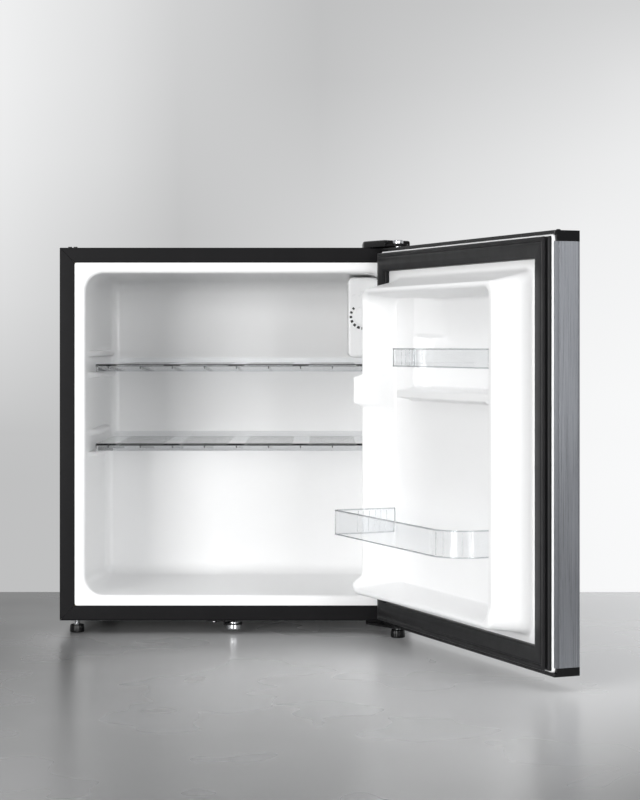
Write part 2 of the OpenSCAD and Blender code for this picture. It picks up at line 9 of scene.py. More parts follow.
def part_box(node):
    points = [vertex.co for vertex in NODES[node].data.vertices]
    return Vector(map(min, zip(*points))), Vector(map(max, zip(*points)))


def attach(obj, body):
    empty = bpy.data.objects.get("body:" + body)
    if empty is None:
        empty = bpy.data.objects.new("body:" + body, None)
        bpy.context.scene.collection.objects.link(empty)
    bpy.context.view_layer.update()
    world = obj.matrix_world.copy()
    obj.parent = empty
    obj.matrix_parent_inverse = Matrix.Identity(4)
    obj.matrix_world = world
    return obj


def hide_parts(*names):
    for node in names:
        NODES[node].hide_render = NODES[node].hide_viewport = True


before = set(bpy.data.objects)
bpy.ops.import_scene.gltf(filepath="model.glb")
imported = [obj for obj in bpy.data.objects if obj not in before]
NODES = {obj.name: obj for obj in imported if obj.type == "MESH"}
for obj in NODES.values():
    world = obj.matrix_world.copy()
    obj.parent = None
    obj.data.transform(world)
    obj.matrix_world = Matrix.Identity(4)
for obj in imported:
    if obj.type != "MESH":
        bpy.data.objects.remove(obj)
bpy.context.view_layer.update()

# ------------------------------------------------------------------ frame
# Cabinet drawings are in millimetres with the cabinet's centre at X = 0, its
# front face at Y = 0 and the floor at Z = 0. F() brings them to the row frame.
SX, SY = -82.65175327681567, 23.394213833284596
HX, HY = 213.0, -27.5
CA, SA = math.cos(math.radians(112.5)), math.sin(math.radians(112.5))


def F(x, y, z):
    return Vector(((x + SX) / 1000, (y + SY) / 1000, z / 1000))


def C(x, y, z):
    """A point of the closed door, turned to the open one."""
    dx, dy = x - HX, y - HY
    return F(HX + dx * CA - dy * SA, HY + dx * SA + dy * CA, z)


def D(u, m, z):
    """Door liner: u from the flange's hinge edge, m from its face inwards."""
    return C(230 - u, -11 + m, z)


# ----------------------------------------------------------------- camera
cam_data = bpy.data.cameras.new("camera")
cam_data.sensor_fit = "VERTICAL"
cam_data.sensor_height = 36
cam_data.lens = 89.235
cam_data.shift_y = -0.06875
cam = bpy.data.objects.new("camera", cam_data)
cam.location = (0.02835, -2.60261, 0.383)
cam.rotation_euler = (math.radians(90), 0, 0)
bpy.context.scene.collection.objects.link(cam)
bpy.context.scene.camera = cam


# -------------------------------------------------------------- materials
def base_nodes(name):
    m = bpy.data.materials.new(name)
    m.use_nodes = True
    nt = m.node_tree
    b = nt.nodes["Principled BSDF"]
    return m, nt, b


def noise(nt, scale, detail=3.0, rough=0.55, stretch=(1, 1, 1)):
    tc = nt.nodes.new("ShaderNodeTexCoord")
    mp = nt.nodes.new("ShaderNodeMapping")
    mp.inputs["Scale"].default_value = stretch
    nt.links.new(tc.outputs["Object"], mp.inputs["Vector"])
    n = nt.nodes.new("ShaderNodeTexNoise")
    n.inputs["Scale"].default_value = scale
    n.inputs["Detail"].default_value = detail
    n.inputs["Roughness"].default_value = rough
    nt.links.new(mp.outputs["Vector"], n.inputs["Vector"])
    return n


def span(nt, src, lo, hi, a=0.3, b=0.7):
    r = nt.nodes.new("ShaderNodeMapRange")
    r.inputs["From Min"].default_value = a
    r.inputs["From Max"].default_value = b
    r.inputs["To Min"].default_value = lo
    r.inputs["To Max"].default_value = hi
    nt.links.new(src, r.inputs["Value"])
    return r.outputs["Result"]


def tint(nt, src, c0, c1, a=0.3, b=0.7):
    r = nt.nodes.new("ShaderNodeValToRGB")
    r.color_ramp.elements[0].position = a
    r.color_ramp.elements[1].position = b
    r.color_ramp.elements[0].color = (*c0, 1)
    r.color_ramp.elements[1].color = (*c1, 1)
    nt.links.new(src, r.inputs["Fac"])
    return r.outputs["Color"]


def bump(nt, b, src, strength, dist, prev=None):
    n = nt.nodes.new("ShaderNodeBump")
    n.inputs["Strength"].default_value = strength
    n.inputs["Distance"].default_value = dist
    nt.links.new(src, n.inputs["Height"])
    if prev is not None:
        nt.links.new(prev, n.inputs["Normal"])
    nt.links.new(n.outputs["Normal"], b.inputs["Normal"])
    return n.outputs["Normal"]


def make(name, c0, c1=None, r=(0.35, 0.45), metal=0.0, scale=30.0, rscale=55.0,
         bscale=900.0, bstr=0.15, bdist=0.00005, stretch=(1, 1, 1), spec=0.5,
         coat=0.0, coat_r=0.1, ior=1.5, wave=0.0, aniso=0.0, sheen=0.0):
    """Opaque finish: two-tone mottling, roughness variation and a fine surface grain."""
    m, nt, b = base_nodes(name)
    c1 = c1 or tuple(min(1.0, x * 1.12) for x in c0)
    n = noise(nt, scale, 4.0, 0.6)
    nt.links.new(tint(nt, n.outputs["Fac"], c0, c1), b.inputs["Base Color"])
    n2 = noise(nt, rscale, 3.0, 0.6, stretch)
    nt.links.new(span(nt, n2.outputs["Fac"], r[0], r[1]), b.inputs["Roughness"])
    prev = None
    if wave:
        n4 = noise(nt, 7.0, 1.0, 0.4)
        prev = bump(nt, b, n4.outputs["Fac"], 1.0, wave)
    if bstr:
        n3 = noise(nt, bscale, 2.0, 0.6, stretch)
        bump(nt, b, n3.outputs["Fac"], bstr, bdist, prev)
    b.inputs["Metallic"].default_value = metal
    b.inputs["Specular IOR Level"].default_value = spec
    b.inputs["IOR"].default_value = ior
    b.inputs["Coat Weight"].default_value = coat
    b.inputs["Coat Roughness"].default_value = coat_r
    b.inputs["Anisotropic"].default_value = aniso
    b.inputs["Sheen Weight"].default_value = sheen
    return m


def clear(name, tone, rough=(0.02, 0.05), dens=0.0, shade=0.88):
    """Clear moulded plastic that lets light through to what stands behind it."""
    m, nt, b = base_nodes(name)
    n = noise(nt, 24.0, 2.0)
    nt.links.new(tint(nt, n.outputs["Fac"], tuple(x * 0.985 for x in tone), tone), b.inputs["Base Color"])
    n2 = noise(nt, 90.0, 3.0)
    nt.links.new(span(nt, n2.outputs["Fac"], rough[0], rough[1]), b.inputs["Roughness"])
    n3 = noise(nt, 60.0, 1.0)
    bump(nt, b, n3.outputs["Fac"], 0.12, 0.0002)
    b.inputs["Transmission Weight"].default_value = 1.0
    b.inputs["IOR"].default_value = 1.49
    tr = nt.nodes.new("ShaderNodeBsdfTransparent")
    tr.inputs["Color"].default_value = (shade, shade * 1.005, shade * 1.01, 1)
    lp = nt.nodes.new("ShaderNodeLightPath")
    mx = nt.nodes.new("ShaderNodeMixShader")
    out = nt.nodes["Material Output"]
    nt.links.new(lp.outputs["Is Shadow Ray"], mx.inputs[0])
    nt.links.new(b.outputs["BSDF"], mx.inputs[1])
    nt.links.new(tr.outputs["BSDF"], mx.inputs[2])
    nt.links.new(mx.outputs["Shader"], out.inputs["Surface"])
    return m


def brushed(name, c0, c1, stretch, r=(0.24, 0.36)):
    m, nt, b = base_nodes(name)
    n = noise(nt, 1.0, 5.0, 0.7, stretch)
    n2 = noise(nt, 9.0, 2.0, 0.5)
    mix = nt.nodes.new("ShaderNodeMath")
    mix.operation = "MULTIPLY_ADD"
    mix.inputs[1].default_value = 0.75
    nt.links.new(n.outputs["Fac"], mix.inputs[0])
    half = span(nt, n2.outputs["Fac"], 0.09, 0.16)
    nt.links.new(half, mix.inputs[2])
    nt.links.new(tint(nt, mix.outputs[0], c0, c1, 0.25, 0.75), b.inputs["Base Color"])
    nt.links.new(span(nt, n.outputs["Fac"], r[0], r[1]), b.inputs["Roughness"])
    bump(nt, b, n.outputs["Fac"], 0.10, 0.00003)
    b.inputs["Metallic"].default_value = 1.0
    b.inputs["Anisotropic"].default_value = 0.55
    return m


M = {}
M["black_paint"] = make("black_paint", (0.0072, 0.007, 0.0077), (0.0084, 0.0081, 0.0089), r=(0.39, 0.43), bscale=1500, bstr=0.25, spec=0.09)
M["dark_paint"] = make("dark_paint", (0.03, 0.03, 0.032), (0.045, 0.045, 0.047), r=(0.5, 0.66), bscale=700, bstr=0.3)
M["grey_paint"] = make("grey_paint", (0.20, 0.205, 0.21), (0.27, 0.275, 0.28), r=(0.32, 0.5), metal=0.75, scale=160, bscale=300, bstr=0.12)
M["black_enamel"] = make("black_enamel", (0.010, 0.010, 0.011), (0.018, 0.018, 0.02), r=(0.16, 0.3), bscale=260, bstr=0.3, bdist=0.0001, coat=0.4)
M["white_liner"] = make("white_liner", (0.950, 0.952, 0.954), (0.953, 0.955, 0.957), r=(0.29, 0.31), scale=3, rscale=4, bscale=520, bstr=0.03, bdist=0.00003, spec=0.42)
# the door's copy of the white liner plastic, a touch darker than the cabinet's as painted shade
M["white_door_liner_shaded"] = make("white_door_liner_shaded", (0.915, 0.918, 0.921), (0.918, 0.921, 0.924), r=(0.28, 0.30), scale=3, rscale=4, bscale=520, bstr=0.03, bdist=0.00003, spec=0.45)
M["white_plastic"] = make("white_plastic", (0.89, 0.894, 0.90), (0.905, 0.91, 0.915), r=(0.26, 0.36), scale=20, bscale=1400, bstr=0.12)
M["foam"] = make("foam", (0.72, 0.60, 0.36), (0.85, 0.76, 0.52), r=(0.8, 0.95), scale=120, bscale=420, bstr=0.7, bdist=0.0006, spec=0.2)
M["aluminium"] = make("aluminium", (0.66, 0.67, 0.68), (0.78, 0.79, 0.8), r=(0.3, 0.45), metal=1.0, scale=60, bscale=500, bstr=0.1)
M["tube_metal"] = make("tube_metal", (0.42, 0.28, 0.2), (0.55, 0.36, 0.24), r=(0.3, 0.5), metal=1.0, scale=70)
M["copper"] = make("copper", (0.60, 0.30, 0.19), (0.80, 0.46, 0.32), r=(0.22, 0.42), metal=1.0, scale=55, bscale=220, bstr=0.1)
M["zinc"] = make("zinc", (0.50, 0.51, 0.53), (0.66, 0.67, 0.69), r=(0.28, 0.46), metal=1.0, scale=130, bscale=400, bstr=0.1)
M["bright_metal"] = make("bright_metal", (0.58, 0.59, 0.61), (0.72, 0.73, 0.75), r=(0.16, 0.30), metal=1.0, scale=200, bscale=900, bstr=0.08)
M["chrome"] = make("chrome", (0.80, 0.81, 0.83), (0.88, 0.89, 0.91), r=(0.05, 0.12), metal=1.0, scale=90, bscale=600, bstr=0.03)
M["black_plastic"] = make("black_plastic", (0.0025, 0.0025, 0.0028), (0.0045, 0.0045, 0.005), spec=0.22, r=(0.2, 0.3), bscale=2200, bstr=0.35, bdist=0.00008)
M["black_rubber"] = make("black_rubber", (0.013, 0.013, 0.013), (0.026, 0.026, 0.027), r=(0.6, 0.8), bscale=1200, bstr=0.4, bdist=0.00008, spec=0.3)
M["gasket_rubber"] = make("gasket_rubber", (0.006, 0.006, 0.0065), (0.008, 0.008, 0.009), r=(0.34, 0.44), spec=0.18, bscale=1100, bstr=0.2, bdist=0.00005, sheen=0.05)
M["magnet"] = make("magnet", (0.05, 0.04, 0.035), (0.09, 0.075, 0.065), r=(0.6, 0.8), bscale=900, bstr=0.4)
M["clear_plastic"] = clear("clear_plastic", (0.965, 0.972, 0.978))
# clear plastic darkened almost to black: painted shade for the shelves' front edge beads
M["clear_edge"] = clear("clear_edge", (0.05, 0.052, 0.056), (0.05, 0.1), shade=0.4)
# clear plastic made darker: painted shade for the rails' rim outlines
M["clear_rim"] = clear("clear_rim", (0.62, 0.64, 0.66), (0.04, 0.08), shade=0.7)
M["clear_field"] = clear("clear_field", (0.86, 0.868, 0.88), (0.12, 0.2), shade=0.93)
M["mark_black"] = make("mark_black", (0.012, 0.012, 0.012), (0.03, 0.03, 0.03), r=(0.4, 0.55), bscale=1500, bstr=0.2)
# darker copy of the brushed steel: painted shade for the skin's folded-in edges
M["steel_fold"] = brushed("steel_fold", (0.085, 0.088, 0.095), (0.125, 0.13, 0.14), (2600, 2600, 9), (0.36, 0.46))
M["brushed_steel"] = brushed("brushed_steel", (0.22, 0.228, 0.245), (0.36, 0.372, 0.40), (2600, 2600, 9))


# ------------------------------------------------------------ mesh helpers
def add(name, verts, faces, mat, body, slot, reps=(), smooth=True, bevel=0.0, segs=3,
        limit=35.0, weighted=True, solid=0.0, merge=1e-6, flat=False, subdiv=0):
    bm = bmesh.new()
    vs = [bm.verts.new(v) for v in verts]
    for f in faces:
        try:
            bm.faces.new([vs[i] for i in f])
        except ValueError:
            pass
    if merge:
        bmesh.ops.remove_doubles(bm, verts=bm.verts, dist=merge)
    bmesh.ops.recalc_face_normals(bm, faces=bm.faces)
    me = bpy.data.meshes.new(name)
    bm.to_mesh(me)
    bm.free()
    for p in me.polygons:
        p.use_smooth = smooth
    me.materials.append(M[mat])
    o = bpy.data.objects.new(name, me)
    bpy.context.scene.collection.objects.link(o)
    if solid:
        s = o.modifiers.new("thickness", "SOLIDIFY")
        s.thickness = solid
        s.offset = -1
    if bevel:
        b = o.modifiers.new("edges", "BEVEL")
        b.width = bevel / 1000
        b.segments = segs
        b.limit_method = "ANGLE"
        b.angle_limit = math.radians(limit)
        b.harden_normals = False
    if weighted and smooth:
        w = o.modifiers.new("shading", "WEIGHTED_NORMAL")
        w.keep_sharp = True
        w.weight = 60
    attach(o, body)
    if reps:
        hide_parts(*reps)
    return o


def rrect(x0, x1, y0, y1, r, n=6):
    """Rounded rectangle, counter-clockwise. r is one radius or four (from the x0,y0 corner on)."""
    rs = [r] * 4 if not isinstance(r, (list, tuple)) else list(r)
    pts = []
    cs = [(x0, y0, 1, 1, 180), (x1, y0, -1, 1, 270), (x1, y1, -1, -1, 0), (x0, y1, 1, -1, 90)]
    for (cx, cy, sx, sy, a0), rr in zip(cs, rs):
        if rr <= 0:
            pts.append((cx, cy))
            continue
        for i in range(n + 1):
            a = math.radians(a0 + 90 * i / n)
            pts.append((cx + sx * rr + rr * math.cos(a), cy + sy * rr + rr * math.sin(a)))
    return pts


def circ(cx, cy, r, n=32, a0=0.0):
    return [(cx + r * math.cos(a0 + 2 * math.pi * i / n), cy + r * math.sin(a0 + 2 * math.pi * i / n)) for i in range(n)]


def prism_data(loops, a, b, conv):
    """Solid between the levels a and b from an outer loop and any holes."""
    flat = [p for lp in loops for p in lp]
    tris = tessellate_polygon([[Vector((p[0], p[1], 0)) for p in lp] for lp in loops])
    n = len(flat)
    verts = [conv(p[0], p[1], a) for p in flat] + [conv(p[0], p[1], b) for p in flat]
    faces = []
    if len(loops) == 1:
        faces += [list(range(n))[::-1], [n + i for i in range(n)]]
    else:
        faces += [tuple(t) for t in tris] + [tuple(n + i for i in t) for t in tris]
    k = 0
    for lp in loops:
        c = len(lp)
        for i in range(c):
            j = (i + 1) % c
            faces.append((k + i, k + j, n + k + j, n + k + i))
        k += c
    return verts, faces


def join(*parts):
    verts, faces = [], []
    for v, f in parts:
        k = len(verts)
        verts += list(v)
        faces += [tuple(i + k for i in q) for q in f]
    return verts, faces


XY = lambda x, y, z: F(x, y, z)                  # loop in X,Y; level Z
XZ = lambda x, z, y: F(x, y, z)                  # loop in X,Z; level Y
YZ = lambda y, z, x: F(x, y, z)                  # loop in Y,Z; level X
UM = lambda u, m, z: D(u, m, z)
UZ = lambda u, z, m: D(u, m, z)
CXY = lambda x, y, z: C(x, y, z)


def boxd(x0, x1, y0, y1, z0, z1, conv=XY):
    return prism_data([[(x0, y0), (x1, y0), (x1, y1), (x0, y1)]], z0, z1, conv)


def loft(rings, conv=lambda p: p, close=True, cap0=False, cap1=False):
    n = len(rings[0])
    verts = [conv(p) for r in rings for p in r]
    faces = []
    for k in range(len(rings) - 1):
        for i in range(n if close else n - 1):
            j = (i + 1) % n
            faces.append((k * n + i, k * n + j, (k + 1) * n + j, (k + 1) * n + i))
    if cap0:
        faces.append(tuple(range(n))[::-1])
    if cap1:
        faces.append(tuple((len(rings) - 1) * n + i for i in range(n)))
    return verts, faces


def lathe(profile, at, conv, n=40, cap=True):
    """profile of (radius, level) turned about the point at."""
    rings = [[(at[0] + r * math.cos(2 * math.pi * i / n), at[1] + r * math.sin(2 * math.pi * i / n), z) for i in range(n)]
             for r, z in profile]
    return loft(rings, lambda p: conv(*p), True, cap, cap)


def tube(points, r, conv=F, n=16, bend=0.0, steps=7, ends=True):
    """Round tube along a path whose corners are bent to the radius bend."""
    pts = [Vector(p) for p in points]
    path = [pts[0]]
    for i in range(1, len(pts) - 1):
        a, b, c = pts[i - 1], pts[i], pts[i + 1]
        d0, d1 = (b - a), (c - b)
        t = min(bend, d0.length * 0.48, d1.length * 0.48)
        if t <= 0:
            path.append(b)
            continue
        p0, p1 = b - d0.normalized() * t, b + d1.normalized() * t
        for k in range(steps + 1):
            s = k / steps
            path.append(p0 * (1 - s) ** 2 + b * 2 * s * (1 - s) + p1 * s * s)
    path.append(pts[-1])
    rings = []
    up = Vector((0.13, 0.29, 0.95)).normalized()
    for i, p in enumerate(path):
        d = (path[min(i + 1, len(path) - 1)] - path[max(i - 1, 0)]).normalized()
        x = up.cross(d)
        if x.length < 1e-3:
            x = Vector((1, 0, 0)).cross(d)
        x.normalize()
        y = d.cross(x)
        up = y if i else up
        rings.append([tuple(p + x * r * math.cos(2 * math.pi * k / n) + y * r * math.sin(2 * math.pi * k / n)) for k in range(n)])
    return loft(rings, lambda q: conv(*q), True, ends, ends)


def soft(t, s):
    """Clamp to 0..1 with rounded corners of half-width s."""
    def g(x):
        return np.where(x < -s, 0.0, np.where(x > s, x, (x + s) ** 2 / (4 * s)))
    return g(t) - g(t - 1)


def smax(a, b, k):
    h = np.clip(0.5 + 0.5 * (a - b) / k, 0, 1)
    return b * (1 - h) + a * h + k * h * (1 - h)


def smin(a, b, k):
    return -smax(-a, -b, k)


# ---------------------------------------------------------------- cabinet
HW, Z0, Z1, DEP = 234.0, 18.0, 512.0, 400.0

# Sheet steel wrapper with its front frame, in four mitred strips.
wrap = [(0, 400), (0, 3.2), (0.12, 1.9), (0.5, 0.9), (1.2, 0.25), (2.1, 0), (18.6, 0), (19.3, 0.18), (19.8, 0.62), (20, 1.2),
        (1.25, 1.2), (1.2, 1.25), (1.2, 400)]
bar = [(0, 1.2), (0.12, 0.8), (0.5, 0.4), (1.2, 0.12), (2.1, 0), (18.6, 0), (19.3, 0.18), (19.8, 0.62), (20, 1.2)]
GAP = 0.22


def frame_strip(side, prof, gap0, gap1):
    """One side of the frame: profile points are (inset from the edge, depth)."""
    r0, r1 = [], []
    for d, y in prof:
        if side == "left":
            r0.append((-HW + d, y, Z0 + d + gap0))
            r1.append((-HW + d, y, Z1 - d - gap1))
        elif side == "right":
            r0.append((HW - d, y, Z0 + d + gap0))
            r1.append((HW - d, y, Z1 - d - gap1))
        elif side == "top":
            r0.append((-HW + d + gap0, y, Z1 - d))
            r1.append((HW - d - gap1, y, Z1 - d))
        else:
            r0.append((-HW + d + gap0, y, Z0 + d))
            r1.append((HW - d - gap1, y, Z0 + d))
    return loft([r0, r1], lambda p: F(*p), True, True, True)


for side, prof in (("left", wrap), ("right", wrap), ("top", wrap), ("bottom", bar)):
    add("shell_" + side, *frame_strip(side, prof, GAP, GAP), "black_paint", "cabinet", "black_paint",
                     bevel=0.16, segs=2, limit=50)
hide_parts("outer_shell")
# dark backing behind the mitre seams
seam = join(*[boxd(x0, x1, 1.3, 2.6, z0, z1, XY) for x0, x1, z0, z1 in
              ((-231, -215.5, 20, 35), (215.5, 231, 20, 35), (-231, -215.5, 495, 510), (215.5, 231, 495, 510))])
add("frame_corner_keys", *seam, "black_plastic", "cabinet", "black_paint", bevel=0.3)

# ---- inner liner: one moulded tub with a step over the compressor
OX, OZ0, OZ1 = 200.0, 52.0, 478.0
YF = 7.0


def arc(cx, cy, r, a0, a1, n):
    return [(cx + r * math.cos(math.radians(a0 + (a1 - a0) * i / n)), cy + r * math.sin(math.radians(a0 + (a1 - a0) * i / n)))
            for i in range(n + 1)]


path = [(YF, OZ0)] + [(y, OZ0) for y in (30, 70, 110, 140, 165, 190, 210)]
path += arc(246 - 18, OZ0 + 18, 18, -90, 0, 8)
path += [(246, z) for z in (110, 150, 190)]
path += arc(246 + 9, 239.8 - 9, 9, 180, 90, 6)
path += [(y, 239.8) for y in (270, 290, 305)]
path += arc(337 - 16, 239.8 + 16, 16, -90, 0, 8)
path += [(337, z) for z in (300, 350, 400, 440)]
path += arc(337 - 18, OZ1 - 18, 18, 0, 90, 8)
path += [(y, OZ1) for y in (290, 250, 210, 170, 130, 90, 50, 25)] + [(YF, OZ1)]
P = np.array(path, float)
T = np.gradient(P, axis=0)
T[0], T[-1] = (1, 0), (-1, 0)
for i in range(1, len(P) - 1):
    a, b = P[i] - P[i - 1], P[i + 1] - P[i]
    a, b = a / np.linalg.norm(a), b / np.linalg.norm(b)
    T[i] = a + b
T /= np.linalg.norm(T, axis=1)[:, None]
NRM = np.stack([-T[:, 1], T[:, 0]], 1)          # towards the compartment


def fillet_r(y, z):
    t = np.clip((y - 60) / 130, 0, 1)
    return 24 - 11 * (t * t * (3 - 2 * t))


NA = 10
rows = []
for (y, z), nn in zip(P, NRM):
    r = fillet_r(y, z)
    row = []
    for k in range(NA + 1):
        a = math.radians(90 * k / NA)
        row.append((-OX + r - r * math.cos(a), r - r * math.sin(a)))
    mid = [-150, -100, -50, 0, 50, 100, 150]
    full = row + [(x, 0) for x in mid] + [(-x, h) for x, h in reversed(row)]
    rows.append([(x, y + nn[0] * h, z + nn[1] * h) for x, h in full])
nv = len(rows[0])
verts = [F(*p) for r in rows for p in r]
faces = [(k * nv + i, k * nv + i + 1, (k + 1) * nv + i + 1, (k + 1) * nv + i) for k in range(len(rows) - 1) for i in range(nv - 1)]
left = [k * nv for k in range(len(rows))]
right = [k * nv + nv - 1 for k in range(len(rows))]
faces += [tuple(left), tuple(right[::-1])]
# front ring: floor row, right wall, ceiling row, left wall
ring = [rows[0][i] for i in range(nv)] + [rows[-1][i] for i in range(nv - 1, -1, -1)]


def out_normal(x, z, r=24.0):
    cx = max(-OX + r, min(OX - r, x))
    cz = max(OZ0 + r, min(OZ1 - r, z))
    v = np.array([x - cx, z - cz], float)
    if np.linalg.norm(v) < 1e-6:
        return np.array([0, -1.0 if z < 265 else 1.0])
    if abs(x) < OX - r - 1e-6:
        return np.array([0, np.sign(v[1])])
    if OZ0 + r + 1e-6 < z < OZ1 - r - 1e-6:
        return np.array([np.sign(v[0]), 0])
    return v / np.linalg.norm(v)


def ring_at(o, y, square=0.0):
    out = []
    for x, _, z in ring:
        n = out_normal(x, z)
        if square:
            n = n * (1 - square) + n / max(abs(n[0]), abs(n[1])) * square
        px, pz = x + n[0] * o, z + n[1] * o
        out.append((px, y, pz))
    return out


front = [ring_at(0, YF), ring_at(0.35, 5.0), ring_at(1.2, 3.2), ring_at(2.6, 1.95), ring_at(4.4, 1.4), ring_at(6.5, 1.25),
         ring_at(10.5, 1.25, 0.25), ring_at(14.5, 1.25, 0.55), ring_at(21.0, 1.25, 0.9)]
fv, ff = loft(front, lambda p: F(*p), True)
lv, lf = join((verts, faces), (fv, ff))
add("inner_liner_tub", lv, lf, "white_liner", "cabinet", "white_liner", reps=("inner_liner",), merge=2e-6)


def blob(x0, x1, y0, y1, z0, z1, r, conv=XY, name=None):
    return boxd(x0, x1, y0, y1, z0, z1, conv)


def lump(side, y0, y1, z0, z1, out, n=9):
    """Soft rib on a side wall that carries or caps a shelf: a rounded section drawn along Y with tapering ends."""
    zm, hz = (z0 + z1) / 2, (z1 - z0) / 2
    rings = []
    ys = [y0 + 60 * t for t in (0, 0.04, 0.1, 0.18, 0.28, 0.4, 0.52, 0.64, 0.76, 0.88, 1.0)] + list(np.linspace(y0 + 72, y1 - 24, 5)) + [y1 - 12, y1 - 7, y1 - 3, y1 - 0.8, y1]
    for y in ys:
        e = y1 - y
        k = math.sqrt(max(0.0, 1 - max(0.0, 1 - e / 12) ** 2)) if e < 12 else 1.0
        f = min(1.0, (y - y0) / 60)
        k = min(k, max(0.02, f * f * (3 - 2 * f)))
        o = out * k
        sec = []
        for i in range(n + 1):
            a = math.pi * i / n
            # squarish arch
            ca, sa = math.cos(a), math.sin(a)
            px = abs(sa) ** 0.7 * o
            pz = zm - math.copysign(abs(ca) ** 0.7, ca) * hz * (0.9 + 0.1 * k)
            sec.append((side * (OX - px + 0.0), y, pz))
        sec.append((side * (OX + 1.2), y, zm + hz * 1.0))
        sec.append((side * (OX + 1.2), y, zm - hz * 1.0))
        rings.append(sec)
    return loft(rings, lambda p: F(*p), True, True, True)


ribs = []
for zt, yb in ((347.0, 300), (239.9, 240)):
    for s in (-1, 1):
        ribs.append(lump(s, 34, yb, zt - 9.5, zt, 11))
        ribs.append(lump(s, 30, yb - 6, zt + 19.5, zt + 29, 10))
add("liner_shelf_ribs", *join(*ribs), "white_liner", "cabinet", "white_liner", bevel=0.5, segs=2, limit=60)

# drain gutter in the step and its spout ring
gut = lathe([(4.6, 239.9), (4.7, 240.5), (6.0, 240.9), (8.4, 240.7), (10.5, 239.9), (10.5, 239.0), (4.6, 239.0)], (95, 312), XY, 32, False)
add("drain_rim", *gut, "white_liner", "cabinet", "white_liner")

# ---- thermostat
hous = prism_data([rrect(149.5, 200, 366, 474.5, (7, 2, 22, 7), 8)], 60, 206, XZ)
add("thermostat_cover", *hous, "white_plastic", "cabinet", "white_plastic", reps=("thermostat_housing",), bevel=2.6, segs=5)
plate = prism_data([rrect(152.6, 197.5, 369, 471, (5, 5, 18, 5), 8), circ(169, 422, 3.2, 24)], 56.2, 60.6, XZ)
add("thermostat_front", *plate, "white_plastic", "cabinet", "white_plastic", bevel=1.2, segs=4)
dash = []
for i in range(13):
    a = math.radians(141 + 21.5 * i)
    c, s_ = math.cos(a), math.sin(a)
    hw_ = 1.5 + 0.12 * i
    r0, r1 = 14.6, 17.9 + 0.04 * i
    quad = [(169 + r * c - w * s_, 422 + r * s_ + w * c) for r, w in ((r0, -hw_ * 0.8), (r1, -hw_), (r1, hw_), (r0, hw_ * 0.8))]
    dash.append(prism_data([quad], 56.05, 56.6, XZ))
add("thermostat_scale", *join(*dash), "mark_black", "cabinet", "black_plastic")
knob = lathe([(0.01, 46.3), (5.5, 46.4), (6.2, 46.9), (6.6, 48.0)], (169, 422), XZ, 48)
dial = [lathe([(0.01, 52.2), (10.9, 52.2), (12.2, 52.5), (12.8, 53.2), (13.0, 54.2), (12.9, 55.3), (12.4, 55.6), (0.01, 55.6)], (169, 422), XZ, 64),
        prism_data([rrect(165.8, 172.2, 410.4, 433.6, 2.6, 5)], 46.2, 52.6, XZ)]
for i in range(24):
    a = 2 * math.pi * i / 24
    c, s = math.cos(a), math.sin(a)
    dial.append(prism_data([[(169 + r * c - w * s, 422 + r * s + w * c) for r, w in ((12.3, -0.55), (13.35, -0.4), (13.35, 0.4), (12.3, 0.55))]], 52.9, 55.2, XZ))
add("thermostat_knob", *join(*dial), "white_plastic", "dial", "white_plastic", reps=("thermostat_dial",), bevel=0.45, segs=3, limit=40)
add("thermostat_pointer", *prism_data([[(168.2, 427), (169.8, 427), (169.8, 432.6), (168.2, 432.6)]], 46.02, 46.5, XZ), "mark_black", "dial", "black_plastic")


